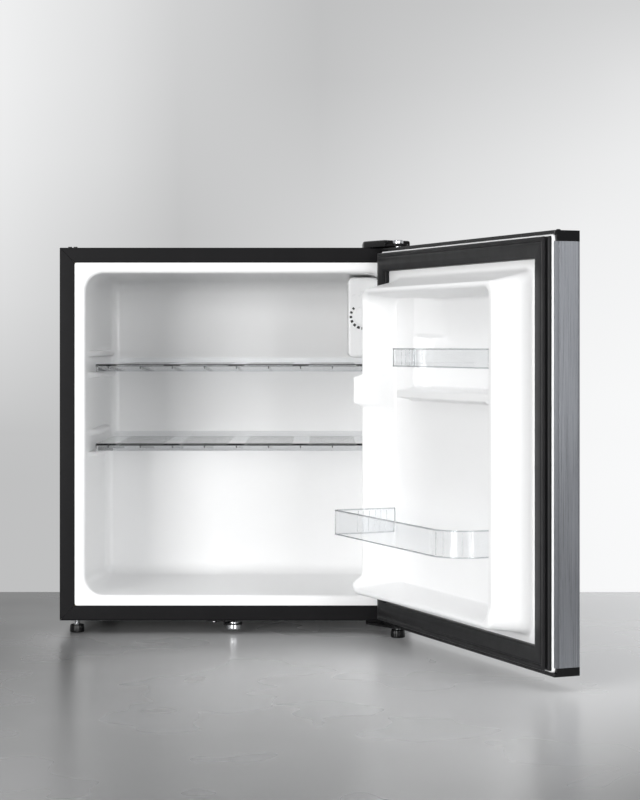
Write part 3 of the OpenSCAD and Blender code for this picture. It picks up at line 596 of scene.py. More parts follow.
# ---------------------------------------------------------------- shelves
def shelf(tag, body, node, ztop, depth, upstand=7.0):
    x1, y0, y1 = 192.5, 50.0, 50.0 + depth
    zb = ztop - 9.7
    parts = []
    # plate, its edge turned down into a lip all round
    out = rrect(-x1, x1, y0, y1, 6, 6)
    inn = rrect(-x1 + 1.8, x1 - 1.8, y0 + 1.8, y1 - 1.8, 4.2, 6)
    n = len(out)
    top = loft([[(x, y, zb) for x, y in inn], [(x, y, ztop - 2.4) for x, y in inn]])
    rings = [[(x, y, zb + 0.4) for x, y in inn], [(x, y, zb) for x, y in rrect(-x1 + 1.4, x1 - 1.4, y0 + 1.4, y1 - 1.4, 4.6, 6)],
             [(x, y, zb) for x, y in rrect(-x1 + 0.4, x1 - 0.4, y0 + 0.4, y1 - 0.4, 5.6, 6)],
             [(x, y, zb + 0.4) for x, y in out], [(x, y, ztop - 0.9) for x, y in out],
             [(x, y, ztop - 0.25) for x, y in rrect(-x1 + 0.25, x1 - 0.25, y0 + 0.25, y1 - 0.25, 5.8, 6)],
             [(x, y, ztop) for x, y in rrect(-x1 + 0.9, x1 - 0.9, y0 + 0.9, y1 - 0.9, 5.2, 6)],
             [(x, y, ztop) for x, y in rrect(-x1 + 5, x1 - 5, y0 + 5, y1 - 5, 2, 6)]]
    vtop, ftop = loft(rings, lambda p: F(*p), True, False, True)
    under = [[(x, y, zb + 0.4) for x, y in inn], [(x, y, ztop - 3.4) for x, y in inn],
             [(x, y, ztop - 2.6) for x, y in rrect(-x1 + 2.6, x1 - 2.6, y0 + 2.6, y1 - 2.6, 3.6, 6)],
             [(x, y, ztop - 2.6) for x, y in rrect(-x1 + 6, x1 - 6, y0 + 6, y1 - 6, 1.5, 6)]]
    vu, fu = loft(under, lambda p: F(*p), True, False, True)
    body_mesh = join((vtop, ftop), (vu, fu))
    o = add(tag + "_plate", *body_mesh, "clear_plastic", body, "clear_plastic", reps=(node,))
    # ribs under the plate and a low upstand behind
    rib = []
    for i in range(-4, 5):
        rib.append(prism_data([[(y0 + 2.2, ztop - 2.7), (y1 - 2.2, ztop - 2.7), (y1 - 3.5, ztop - 6.0), (y0 + 3.5, ztop - 6.0)]],
                              i * 43.3 - 2.7, i * 43.3 - 1.3, YZ))
    rib.append(prism_data([rrect(-x1 + 3, x1 - 3, ztop + 0.02, ztop + upstand, (0, 0, 4, 4), 5)], y1 - 2.0, y1 - 0.2, XZ))
    add(tag + "_ribs", *join(*rib), "clear_plastic", body, "clear_plastic", bevel=0.3, segs=2)
    # thick beads of the front edge between the panels, and the small ribs below it; the beads' clear plastic is
    # darkened as painted shade
    bead = []
    for a, b in ((-190.8, -164), (-100, -78), (-13, 9), (74, 96), (160, 182)):
        bead.append(prism_data([rrect(a, b, ztop - 2.1, ztop + 0.12, 0.6, 3)], y0 - 0.35, y0 + 1.3, XZ))
    add(tag + "_edge_beads", *join(*bead), "clear_edge", body, "clear_plastic")
    # the four lightly tinted fields of the top between the beads
    field = []
    for a, b in ((-163.5, -100.5), (-77.5, -13.5), (9.5, 73.5), (96.5, 159.5)):
        field.append(prism_data([rrect(a, b, y0 + 2.5, y1 - 6, 3, 4)], ztop - 0.3, ztop + 0.2, XY))
    add(tag + "_fields", *join(*field), "clear_field", body, "clear_plastic", bevel=0.15, segs=2)
    return o


shelf("upper_shelf", "upper_shelf_body", "upper_shelf", 357.0, 280.0)
shelf("lower_shelf", "lower_shelf_body", "lower_shelf", 250.0, 222.0)

# ------------------------------------------------------------------- door
DZ0, DZ1 = 17.5, 509.5
FW, FZ0, FZ1 = 460.0, 21.5, 505.5


def rr_at(o, side, f):
    """Point on the rounded rectangle o = (u0, u1, z0, z1, r) for a side and a fraction along it, corner middle to corner middle."""
    u0, u1, z0, z1, r = o
    r = max(r, 1e-6)
    cen = [(u0 + r, z0 + r), (u1 - r, z0 + r), (u1 - r, z1 - r), (u0 + r, z1 - r)]
    L = (u1 - u0, z1 - z0, u1 - u0, z1 - z0)[side]
    Lp = L - 2 * r + math.pi * r / 2
    s = f * Lp
    q = math.pi * r / 4
    a_tan = math.radians(270 + 90 * side)
    d = [(1, 0), (0, 1), (-1, 0), (0, -1)][side]
    if s < q:
        a = a_tan - math.pi / 4 + s / r
        c = cen[side]
        return c[0] + r * math.cos(a), c[1] + r * math.sin(a)
    if s > Lp - q:
        a = a_tan + (s - (Lp - q)) / r
        c = cen[(side + 1) % 4]
        return c[0] + r * math.cos(a), c[1] + r * math.sin(a)
    c = cen[side]
    p = (c[0] + r * math.cos(a_tan), c[1] + r * math.sin(a_tan))
    return p[0] + d[0] * (s - q), p[1] + d[1] * (s - q)


def lin(a, b, t):
    return tuple(x + (y - x) * t for x, y in zip(a, b))


def sm(x, a, b):
    t = np.clip((np.asarray(x, float) - a) / (b - a), 0, 1)
    return t * t * (3 - 2 * t)


def crest(u, z):
    """Height of the ridge's crest."""
    low = sm(-z, -92, -76)                       # towards the bottom lip
    lip = 64.0 - 10.5 * np.clip((u - 50) / 200, 0, 1) ** 0.9
    h = 50 + (lip - 50) * low
    tab = sm(z, 303.5, 309) * (1 - sm(z, 341, 346.5)) * (1 - sm(u, 60, 66))
    return h + 12 * tab


def inner(u, z):
    """Level of the liner inside the ridge: panel, pocket and ledge."""
    u, z = np.asarray(u, float), np.asarray(z, float)
    h = np.full(u.shape, 8.0)
    # ledge under the pocket, its lower edge curving down at the free end
    drop = 16 * np.clip((u - 352) / 42, 0, 1) ** 2.2
    top_in = sm(z, 314.0 - drop, 317.5 - drop) * (1 - sm(z, 326.5, 329.5))
    reach = sm(u, 104, 124)
    h = h + (26 * top_in * reach)
    # pocket, its upper part with a wide curved wall and its lower part with a steep one
    t = np.clip((u - 116.5) / 66, 0, 1)
    up_wall = 8 - 20 * (1 - (1 - t) ** 2.1)
    t2 = np.clip((u - 116.5) / 26, 0, 1)
    low_wall = 8 - 20 * (1 - (1 - t2) ** 2.6)
    w = sm(z, 393.4, 395.6)
    wall = low_wall * (1 - w) + up_wall * w
    # rounded corners: below left, above left
    cl = 16.0
    du, dz = np.clip(116.5 + cl - u, 0, cl), np.clip(328 + cl - z, 0, cl)
    ex = np.sqrt(du ** 2 + dz ** 2) - cl
    pock_in = sm(z, 327.5, 330.5) * (1 - sm(ex, -1.5, 2.0))
    cu = 22.0
    du, dz = np.clip(116.5 + cu - u, 0, cu), np.clip(z - (452 - cu), 0, cu)
    ex = np.sqrt(du ** 2 + dz ** 2) - cu
    pock_in = pock_in * (1 - sm(ex, -2.0, 2.5))
    return h * (1 - pock_in) + wall * pock_in


# ring list from the rim inwards: (outline, kind, value)
base = (44.5, 417.5, 57.5, 467.0, 17.0)
co = (50.0, 413.0, 65.5, 454.5, 13.0)            # crest, outer line
ci = (55.5, 401.5, 72.0, 448.5, 12.0)            # crest, inner line
bi = (71.0, 394.0, 84.0, 441.0, 12.0)            # foot of the inner walls, at m = -14
grow = lambda o, d, r=0: (o[0] - d, o[1] + d, o[2] - d, o[3] + d, max(0.5, o[4] + r))
fl_o = (0, FW, FZ0, FZ1, 3.0)
rings_def = [(grow(fl_o, -0.8), "m", -5.0), (fl_o, "m", -4.9), (fl_o, "m", -1.6), (grow(fl_o, -0.25), "m", -0.7), (grow(fl_o, -0.8), "m", -0.18),
             (grow(fl_o, -1.7), "m", 0.0), (grow(fl_o, -14), "m", 0.0), (grow(fl_o, -28, 8), "m", 0.0),
             (grow(base, 7, 6), "m", 0.0), (grow(base, 4, 4), "c", 0.006), (grow(base, 2, 2), "c", 0.022), (grow(base, 0.7, 0.7), "c", 0.05),
             (lin(base, co, 0.04), "c", 0.10)]
for t in (0.25, 0.42, 0.6, 0.76, 0.88):
    rings_def.append((lin(base, co, t), "c", t))
rings_def += [(lin(base, co, 0.955), "c", 0.95), (grow(co, -0.6), "c", 0.977), (grow(co, -1.5), "c", 0.992), (grow(co, -2.6), "c", 1.0),
              (grow(ci, 2.2), "c", 1.0), (grow(ci, 1.1), "c", 0.992), (ci, "c", 0.972)]
for t in (0.06, 0.13, 0.22, 0.32, 0.42, 0.52, 0.62, 0.72, 0.82, 0.91, 1.0):
    rings_def.append((lin(ci, bi, t ** 0.85), "i", t))
NU, NZ = 150, 190
ginner = (bi[0] + 4, bi[1] - 4, bi[2] + 4, bi[3] - 4, 0.0)


def perimeter():
    out = []
    for side, n in ((0, NU), (1, NZ), (2, NU), (3, NZ)):
        for i in range(n):
            out.append((side, i / n))
    return out


PER = perimeter()
lv, lf = [], []
NP = len(PER)
for o, kind, val in rings_def + [(ginner, "g", 0)]:
    pts = np.array([rr_at(o, s, f) for s, f in PER])
    u, z = pts[:, 0], pts[:, 1]
    if kind == "m":
        h = np.full(u.shape, float(val))
    elif kind == "c":
        h = crest(u, z) * val
    elif kind == "i":
        c = crest(u, z) * 0.972
        h = smax(c + (-14 - c) * val, inner(u, z), 5.0)
    else:
        h = inner(u, z)
    lv += [D(a, b, c) for a, b, c in zip(u, h, z)]
nr = len(rings_def) + 1
for k in range(nr - 1):
    for i in range(NP):
        j = (i + 1) % NP
        lf.append((k * NP + i, k * NP + j, (k + 1) * NP + j, (k + 1) * NP + i))
# inner grid; its border is the last ring
us = np.linspace(ginner[0], ginner[1], NU + 1)
zs = np.linspace(ginner[2], ginner[3], NZ + 1)
U, Zg = np.meshgrid(us, zs)
Hh = inner(U, Zg)
g0 = len(lv)
for j in range(NZ + 1):
    for i in range(NU + 1):
        lv.append(D(U[j, i], Hh[j, i], Zg[j, i]))
for j in range(NZ):
    for i in range(NU):
        a = g0 + j * (NU + 1) + i
        lf.append((a, a + 1, a + NU + 2, a + NU + 1))
add("door_liner_panel", lv, lf, "white_door_liner_shaded", "door", "white_liner", reps=("door_liner",), merge=2e-5, weighted=False)

# ---- gasket: a ridged section swept round with mitred corners
gas = [(2.6, 0.25), (2.35, 1.2), (2.5, 3.4), (3.0, 4.6), (4.4, 5.3), (5.6, 5.9), (5.9, 6.5), (5.3, 7.1), (3.9, 7.5), (3.0, 8.2), (2.7, 9.2), (3.2, 10.1), (4.4, 10.5),
       (6.3, 10.58), (7.2, 10.1), (7.8, 9.2), (8.4, 9.2), (9.0, 10.1), (10.0, 10.5), (12.0, 10.6), (14.5, 10.5), (17.0, 10.25), (19.5, 9.9), (22.0, 9.45), (24.4, 8.95),
       (25.8, 8.5), (26.3, 8.0), (26.0, 7.6), (25.0, 7.2), (24.3, 6.8), (24.5, 6.1), (25.7, 5.4), (26.4, 4.4), (26.5, 0.25)]


def shoulder(u, m):
    """The hinge side is eased so that it clears the cabinet's face as the door turns."""
    if u < 17:
        m = min(m, -16.5 + math.sqrt(max(0.0, 27.0 ** 2 - (17 - u) ** 2)))
    return m


gverts, gfaces = [], []
for k in range(4):
    # bottom, free side, top, hinge side; each strip runs from mitre to mitre
    stations = (0, 1) if k in (1, 3) else (0, "a", "b", "c", "d", 1)
    strip = []
    for st in stations:
        row = []
        for a, m in gas:
            lo_u, hi_u, lo_z, hi_z = a, FW - a, FZ0 + a, FZ1 - a
            if k == 0 or k == 2:
                z = lo_z if k == 0 else hi_z
                u = lo_u if st == 0 else hi_u if st == 1 else max(lo_u, {"a": 6.0, "b": 10.5, "c": 14.0, "d": 17.5}[st])
            else:
                u = hi_u if k == 1 else lo_u
                z = lo_z if st == 0 else hi_z
            row.append((u, shoulder(u, m), z))
        strip.append(row)
    seg = loft(strip, lambda p: D(*p), True, False, False)
    off = len(gverts)
    gverts += seg[0]
    gfaces += [tuple(i + off for i in f) for f in seg[1]]
gasket = add("door_gasket_seal", gverts, gfaces, "gasket_rubber", "door", "gasket_rubber", reps=("door_gasket",), merge=1e-6, bevel=0.22, segs=2, limit=38)

# ---- brushed skin with turned edges
sk = [(-234, -16.9), (-234, -40.6), (-233.6, -42.4), (-232.5, -43.5), (-230.6, -44), (230.6, -44), (232.5, -43.5), (233.6, -42.4), (234, -40.6), (234, -16.9),
      (232.8, -16.9), (232.8, -40.4), (232.4, -41.8), (231.6, -42.5), (230.2, -42.8),
      (-230.2, -42.8), (-231.6, -42.5), (-232.4, -41.8), (-232.8, -40.4), (-232.8, -16.9)]
add("door_skin_panel", *prism_data([sk], 27.0, 497.5, CXY), "brushed_steel", "door", "brushed_steel", reps=("door_skin",), bevel=0.15, segs=2, limit=50)


# the skin's side edges, folded in towards the liner's flange, in a darker copy of the skin's steel as painted shade
fold = [(234, -16.9), (233.8, -16.0), (231.9, -12.8), (231.3, -12.2), (230.5, -12.2), (230.4, -12.9), (232.8, -16.9)]
add("door_skin_folds", *join(prism_data([fold], 27.0, 497.5, CXY), prism_data([[(-x, y) for x, y in fold]], 27.0, 497.5, CXY)), "steel_fold", "door", "brushed_steel")


# ---- end caps, with fine ribs on their edge
def cap_outline(i):
    return [(-234 + i, -14), (-234 + i, -41.2), (-233.3 + i, -43.1), (-231.2 + i, -44 + i), (231.2 - i, -44 + i), (233.3 - i, -43.1), (234 - i, -41.2), (234 - i, -14)]


def cap(name, z0, z1, zl0, zl1, node, top, post):
    parts = []
    hole = circ(HX, HY, 6.5, 40)
    parts.append(prism_data([cap_outline(0), hole], z0, z1, CXY))
    parts.append(prism_data([[(-234, -14.05), (234, -14.05), (234, -11.6), (233.4, -11), (-233.4, -11), (-234, -11.6)]], zl0, zl1, CXY))
    # fine grip ribs across both ends
    for s in (-1, 1):
        for i in range(5):
            y = -17.2 - 2.1 * i
            parts.append(prism_data([[(s * 233.8, y - 0.45), (s * 233.98, y - 0.2), (s * 233.98, y + 0.2), (s * 233.8, y + 0.45)]], z0 + 1.2, z1 - 1.2, CXY))
    o = add(name, *join(*parts), "black_plastic", "door", "black_plastic", reps=(node,), bevel=0.7, segs=3, limit=40)
    # post that holds the hinge bush
    add(name + "_post", *prism_data([circ(HX, HY, 9, 40), circ(HX, HY, 6.5, 40)], post[0], post[1], CXY), "black_plastic", "door", "black_plastic", bevel=0.3)
    return o


cap("door_cap_top", 497.5, 509.5, 505.5, 509.5, "door_top_cap", True, (489.6, 497.4))
cap("door_cap_bottom", 17.5, 27.0, 17.5, 21.5, "door_bottom_cap", False, (27.1, 36.3))
catch = prism_data([rrect(-10.7, 3.3, -41, -37.5, 1.0, 3)], 13.4, 18.0, CXY)
add("door_lock_catch", *catch, "black_plastic", "door", "black_plastic", bevel=0.5)
plugs = join(lathe([(0.01, 511.9), (1.6, 511.9), (2.4, 511.5), (2.85, 510.6), (2.9, 509.4), (2.9, 503.6), (0.01, 503.6)], (-HX, HY), CXY, 32),
             lathe([(0.01, 15.1), (1.6, 15.1), (2.4, 15.5), (2.85, 16.4), (2.9, 17.6), (2.9, 22.3), (0.01, 22.3)], (-HX, HY), CXY, 32))
add("door_hole_plugs", *plugs, "black_plastic", "door", "black_plastic", reps=("cap_hole_plugs",))


# ---- clear rails
def rail_path(back, frontm, rs, rb, ua, leg):
    """Centre line in u, m of a U rail: hinge-side leg, front bar, free-side leg with a larger corner."""
    u0, u1 = ua + 1.3, 397.5 - 1.3
    pts = [(u0, leg)]
    for t in np.linspace(0.15, 0.85, 8):
        pts.append((u0, leg + (frontm - rs - leg) * t))
    pts += [(u0 + rs - rs * math.cos(a), frontm - rs + rs * math.sin(a)) for a in np.radians(np.linspace(0, 90, 9))]
    for t in np.linspace(0.03, 0.97, 40):
        pts.append((u0 + rs + (u1 - rb - u0 - rs) * t, frontm))
    pts += [(u1 - rb + rb * math.sin(a), frontm - rb + rb * math.cos(a)) for a in np.radians(np.linspace(0, 90, 17))]
    if frontm - rb - back > 3:
        for t in np.linspace(0.2, 1.0, 7):
            pts.append((u1, frontm - rb + (back - frontm + rb) * t))
    return pts


def rail(name, body, node, back, frontm, rs, rb, z0, z1, thick, ribs, ua=73.5, leg=None):
    pts = np.array(rail_path(back, frontm, rs, rb, ua, back if leg is None else leg))
    d = np.gradient(pts, axis=0)
    d /= np.linalg.norm(d, axis=1)[:, None]
    nrm = np.stack([-d[:, 1], d[:, 0]], 1)          # outwards: away from the bin
    h = thick / 2
    # section: thin wall with rolled, thicker top and bottom rims
    zz = [(-h + 0.1, z0 + 1.5), (-h + 0.1, z1 - 1.5), (h - 0.1, z1 - 1.5), (h - 0.1, z0 + 1.5)]
    sweep = lambda sec: loft([[(p[0] + n[0] * a, p[1] + n[1] * a, z) for a, z in sec] for p, n in zip(pts, nrm)], lambda q: D(*q), True, True, True)
    o = add(name, *sweep(zz), "clear_plastic", body, "clear_plastic", reps=(node,), bevel=0.15, segs=1, limit=60)
    # rolled rims along both edges and round the ends, in clear plastic darkened as painted shade
    rim = []
    for zc in (z0 + 0.8, z1 - 0.8):
        rim.append(sweep([(a, zc + c) for a, c in ((-h - 0.3, -0.4), (-h + 0.1, -0.78), (h - 0.1, -0.78), (h + 0.3, -0.4), (h + 0.3, 0.4), (h - 0.1, 0.78), (-h + 0.1, 0.78), (-h - 0.3, 0.4))]))
    for k in (0, -1):
        p, n, t = pts[k], nrm[k], d[k] * (1 if k == 0 else -1)
        quad = [tuple(p + n * a + t * w) for a, w in ((-h - 0.3, -0.5), (h + 0.3, -0.5), (h + 0.3, 0.5), (-h - 0.3, 0.5))]
        rim.append(prism_data([quad], z0 + 0.2, z1 - 0.2, lambda u, m, z: D(u, m, z)))
    add(name + "_rims", *join(*rim), "clear_rim", body, "clear_plastic", bevel=0.25, segs=2, limit=40)
    # small upright ribs inside, at the ends and the corner
    rb_parts = []
    for i in ribs:
        p, n, t = pts[i], nrm[i], d[i]
        a = h + 0.05
        quad = [tuple(p + n * (a - 0.1) * sgn + t * w) for sgn, w in ((-1, -0.55), (-1, 0.55))] + [tuple(p - n * (a + 0.75) + t * w) for w in (0.35, -0.35)]
        rb_parts.append(prism_data([quad], z0 + 2.6, z1 - 2.6, lambda u, m, z: D(u, m, z)))
    if rb_parts:
        add(name + "_ribs", *join(*rb_parts), "clear_plastic", body, "clear_plastic", bevel=0.12, segs=2)
    return o


rail("lower_rail", "lower_rail_body", "lower_door_rail", 14.5, 97.6, 4.5, 39, 144.0, 175.5, 2.4, [1, 2, 3, 4, 5, 6, 60, 63, 66, 69, 72, 76, 78, 80])
rail("upper_rail", "upper_rail_body", "upper_door_rail", 24.5, 39.6, 3.5, 13.6, 356.0, 379.0, 2.2, [2, 4, 6, 22, 26, 30, 58, 64, 70, 73], 122.6, 9.0)
# ------------------------------------------------------- hinges and screws
hinge_o = [(170, 62), (226.4, 62), (226.4, -8)] + [(HX + 13.4 * math.cos(math.radians(a)), HY + 13.4 * math.sin(math.radians(a))) for a in range(20, -136, -12)] + [(172, 14), (170, 20)]
add("hinge_arm_top", *prism_data([hinge_o, circ(HX, HY, 4.0, 32)], 512.0, 515.0, XY), "black_paint", "cabinet", "black_paint", reps=("top_hinge_bracket",), bevel=0.45)
pin = lathe([(0.01, 483.6), (3.4, 483.6), (4.0, 484.4), (4.0, 515.0), (6.3, 515.0), (6.9, 515.5), (7.0, 516.2), (7.0, 519.2), (6.7, 520.0), (5.9, 520.5), (0.01, 520.5)], (HX, HY), XY, 48)
add("hinge_pin_top", *pin, "bright_metal", "cabinet", "bright_metal", reps=("top_hinge_pin",))
cover_o = [(168, 64), (230, 64), (230, 0), (205, -16), (196, -26), (170, 12), (168, 18)]
cv_in = [(169.8, 62.2), (227.2, 62.2), (227.2, 2), (204, -13), (196.6, -23), (171.6, 12.6), (169.8, 18)]
crings = [[(x, y, 512.05) for x, y in cover_o], [(x, y, 518.6) for x, y in cover_o]]
cx0, cy0 = 199, 24
shr = lambda pts, k: [(cx0 + (x - cx0) * k, cy0 + (y - cy0) * k) for x, y in pts]
crings += [[(x, y, 520.3) for x, y in shr(cover_o, 0.975)], [(x, y, 520.95) for x, y in shr(cover_o, 0.93)]]
add("hinge_cover", *loft(crings, lambda p: F(*p), True, True, True), "black_plastic", "cabinet", "black_plastic", reps=("top_hinge_cover",), bevel=0.5, segs=3, limit=30)


def keep(node, mat, bevel=0.4, segs=2, limit=35, smooth=True):
    """Carry a CAD node over with its finish and eased edges."""
    o = NODES[node]
    o.data.materials.clear()
    o.data.materials.append(M[mat])
    if bevel:
        b = o.modifiers.new("edges", "BEVEL")
        b.width = bevel / 1000
        b.segments = segs
        b.limit_method = "ANGLE"
        b.angle_limit = math.radians(limit)
    w = o.modifiers.new("shading", "WEIGHTED_NORMAL")
    w.keep_sharp = True
    return o


for node, mat, bev in (
        ("base_plate", "grey_paint", 0.3), ("rear_panel", "dark_paint", 0.3), ("evaporator", "aluminium", 0.0),
        ("condenser_coil", "tube_metal", 0.0), ("thermostat_body", "zinc", 0.6), ("sensing_tube", "tube_metal", 0.0), ("hinge_hole_plugs", "black_plastic", 0.5),
        ("top_hinge_screws", "bright_metal", 0.3), ("bottom_hinge_bracket", "black_paint", 0.5), ("bottom_hinge_pin", "bright_metal", 0.3),
        ("bottom_hinge_screws", "bright_metal", 0.3), ("rear_feet", "black_rubber", 0.8), ("foot_insert", "bright_metal", 0.2), ("compressor_plate", "grey_paint", 0.4),
        ("compressor_legs", "black_enamel", 0.5), ("compressor_grommets", "black_rubber", 0.5), ("compressor_bolts", "bright_metal", 0.4),
        ("start_relay_cover", "black_plastic", 1.5), ("filter_drier", "copper", 0.0), ("drain_tube", "white_plastic", 0.3), ("drip_pan", "black_plastic", 0.7),
        ("cord_gland", "black_rubber", 0.7), ("lock_bracket", "black_paint", 0.2), ("lock_bracket_screws", "bright_metal", 0.25), ("lock_cam", "bright_metal", 0.2),
        ("gasket_magnets", "magnet", 0.3), ("door_hinge_bushes", "white_plastic", 0.3)):
    keep(node, mat, bev)

# ---- foam, in blocks that stay behind the liners
g = 0.05
cab = join(boxd(-232.6, -204.5, 3.6, 277.8, 19.7, 510.6), boxd(204.5, 232.6, 3.6, 277.8, 19.7, 510.6),
           boxd(-232.6, -204.5, 277.8 + g, 398.8, 216.6, 510.6), boxd(204.5, 232.6, 277.8 + g, 398.8, 216.6, 510.6),
           boxd(-204.5 + g, 204.5 - g, 3.6, 398.8, 482.5, 510.6), boxd(-204.5 + g, 204.5 - g, 3.6, 277.8, 19.7, 47.0),
           boxd(-204.5 + g, 204.5 - g, 252.5, 277.8, 47.0 + g, 216.0), boxd(-204.5 + g, 204.5 - g, 252.5, 398.8, 216.0 + g, 234.0),
           boxd(-204.5 + g, 204.5 - g, 349.0, 398.8, 234.0 + g, 482.5 - g))
add("cabinet_foam_blocks", *cab, "foam", "cabinet", "foam", reps=("cabinet_foam",), bevel=0.8, segs=2)
dfo = join(boxd(-232.4, 232.4, -42.5, -27.5, 36.5, 489.0, CXY),
           prism_data([[(51.5, 74), (56, 74), (56, 446), (51.5, 446)]], -16.4, 40, UZ), prism_data([[(403.5, 74), (411, 74), (411, 446), (403.5, 446)]], -16.4, 44, UZ))
add("door_foam_slab", *dfo, "foam", "door", "foam", reps=("door_foam",), bevel=0.8, segs=2)

# ---- compressor can with its weld seam
cx, cy, cr = 95.0, 341.0, 56.0
prof = [(0.01, 26.0), (20, 26.2), (34, 28.6), (46, 34.5), (52.5, 43), (55.4, 53), (56, 62), (56, 93.4), (57.3, 93.8), (57.6, 94.6), (57.6, 98.0), (57.3, 98.8), (56, 99.2),
        (56, 132), (55.2, 141), (52, 150.5), (46, 158.5), (36, 164.6), (22, 167.6), (0.01, 168)]
add("compressor_can", *lathe(prof, (cx, cy), XY, 96), "black_enamel", "cabinet", "black_enamel", reps=("compressor",))
add("discharge_pipe", *tube([(cx - 42, cy - 34, 60), (cx - cr - 26, cy - 34, 60), (cx - cr - 26, cy - 34, 214)], 3.0, n=20, bend=11), "copper", "cabinet", "copper", reps=("discharge_tube",))
add("suction_pipe", *tube([(cx + cr - 2, cy - 6, 130), (cx + cr + 24, cy - 6, 130), (cx + cr + 24, cy - 6, 214)], 4.0, n=20, bend=12), "copper", "cabinet", "copper", reps=("suction_tube",))
# solder collars where the tubes leave the can
col = join(tube([(cx - cr + 1.5 + 9.5, cy - 34, 60), (cx - cr + 6, cy - 34, 60)], 4.2, n=20), tube([(cx + cr - 1, cy - 6, 130), (cx + cr + 5, cy - 6, 130)], 5.2, n=20))
add("tube_collars", *col, "copper", "cabinet", "copper", bevel=0.6)

# ---- front feet: ribbed cups on threaded studs
def foot(name, body, node, x, y, z_top, r_stud, r):
    n = 72
    rings = []
    prof = [(r - 1.4, 0.0), (r - 0.5, 0.4), (r, 1.4), (r - 0.25, 6.2), (r - 0.7, 9.6), (r - 1.4, 10.3), (r - 2.4, 10.6)]
    for rr, z in prof:
        row = []
        for i in range(n):
            k = 1.0 - (0.035 if (i % 6 in (0, 1) and 1.0 < z < 9.9) else 0.0)
            a = 2 * math.pi * i / n
            row.append((x + rr * k * math.cos(a), y + rr * k * math.sin(a), z))
        rings.append(row)
    add(name, *loft(rings, lambda p: F(*p), True, True, True), "black_plastic", body, "black_plastic", reps=(node,), bevel=0.12, segs=1, limit=30)
    th = []
    zt = 10.4
    prof = [(0.01, 10.2)]
    while zt < z_top - 1.0:
        prof += [(r_stud - 0.25, zt), (r_stud, zt + 0.35), (r_stud, zt + 0.6), (r_stud - 0.25, zt + 0.95)]
        zt += 1.1
    prof += [(r_stud - 0.5, z_top), (0.01, z_top)]
    add(name + "_stud", *lathe(prof, (x, y), XY, 40), "bright_metal", body, "bright_metal")


bl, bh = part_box("front_foot_left")
br, bh2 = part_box("front_foot_right")
rl = (bh.x - bl.x) * 500
rr_ = (bh2.x - br.x) * 500
foot("foot_left", "left_foot", "front_foot_left", -213.4, 23, bh.z * 1000 - 0.2, 3.9, rl)
foot("foot_right", "right_foot", "front_foot_right", HX, HY, bh2.z * 1000 - 0.2, 2.9, rr_)

# ---- lock
lx, ly = -3.7, 8.0
bar_p = [(5.65, 6.15), (8.3, 6.0), (9.0, 6.25), (9.45, 7.0), (9.5, 7.8), (9.5, 12.2), (9.2, 12.6), (7.5, 12.6), (7.5, 13.8), (5.65, 13.8)]
bar_r = [[(lx + r * math.cos(2 * math.pi * i / 48), ly + r * math.sin(2 * math.pi * i / 48), z) for i in range(48)] for r, z in bar_p + [bar_p[0]]]
add("lock_barrel_ring", *loft(bar_r, lambda p: F(*p), True), "chrome", "cabinet", "chrome", reps=("lock_barrel",))
slot_w = 0.7
plug_out = circ(lx, ly, 5.45, 48)
plug = join(prism_data([plug_out], 7.2, 14.2, XY),
            prism_data([plug_out, [(lx - 4, ly - slot_w), (lx + 4, ly - slot_w), (lx + 4, ly + slot_w), (lx - 4, ly + slot_w)]], 5.65, 7.25, XY))
add("lock_plug_core", *plug, "chrome", "lock_rotor", "chrome", reps=("lock_plug",), bevel=0.2, segs=2)

# ------------------------------------------------------------- the studio
FLOOR_GAIN = 0.86


def stage_mesh(name, verts, faces, mat):
    me = bpy.data.meshes.new(name)
    me.from_pydata([tuple(v) for v in verts], [], faces)
    me.materials.append(mat)
    for p in me.polygons:
        p.use_smooth = True
    o = bpy.data.objects.new(name, me)
    bpy.context.scene.collection.objects.link(o)
    return o


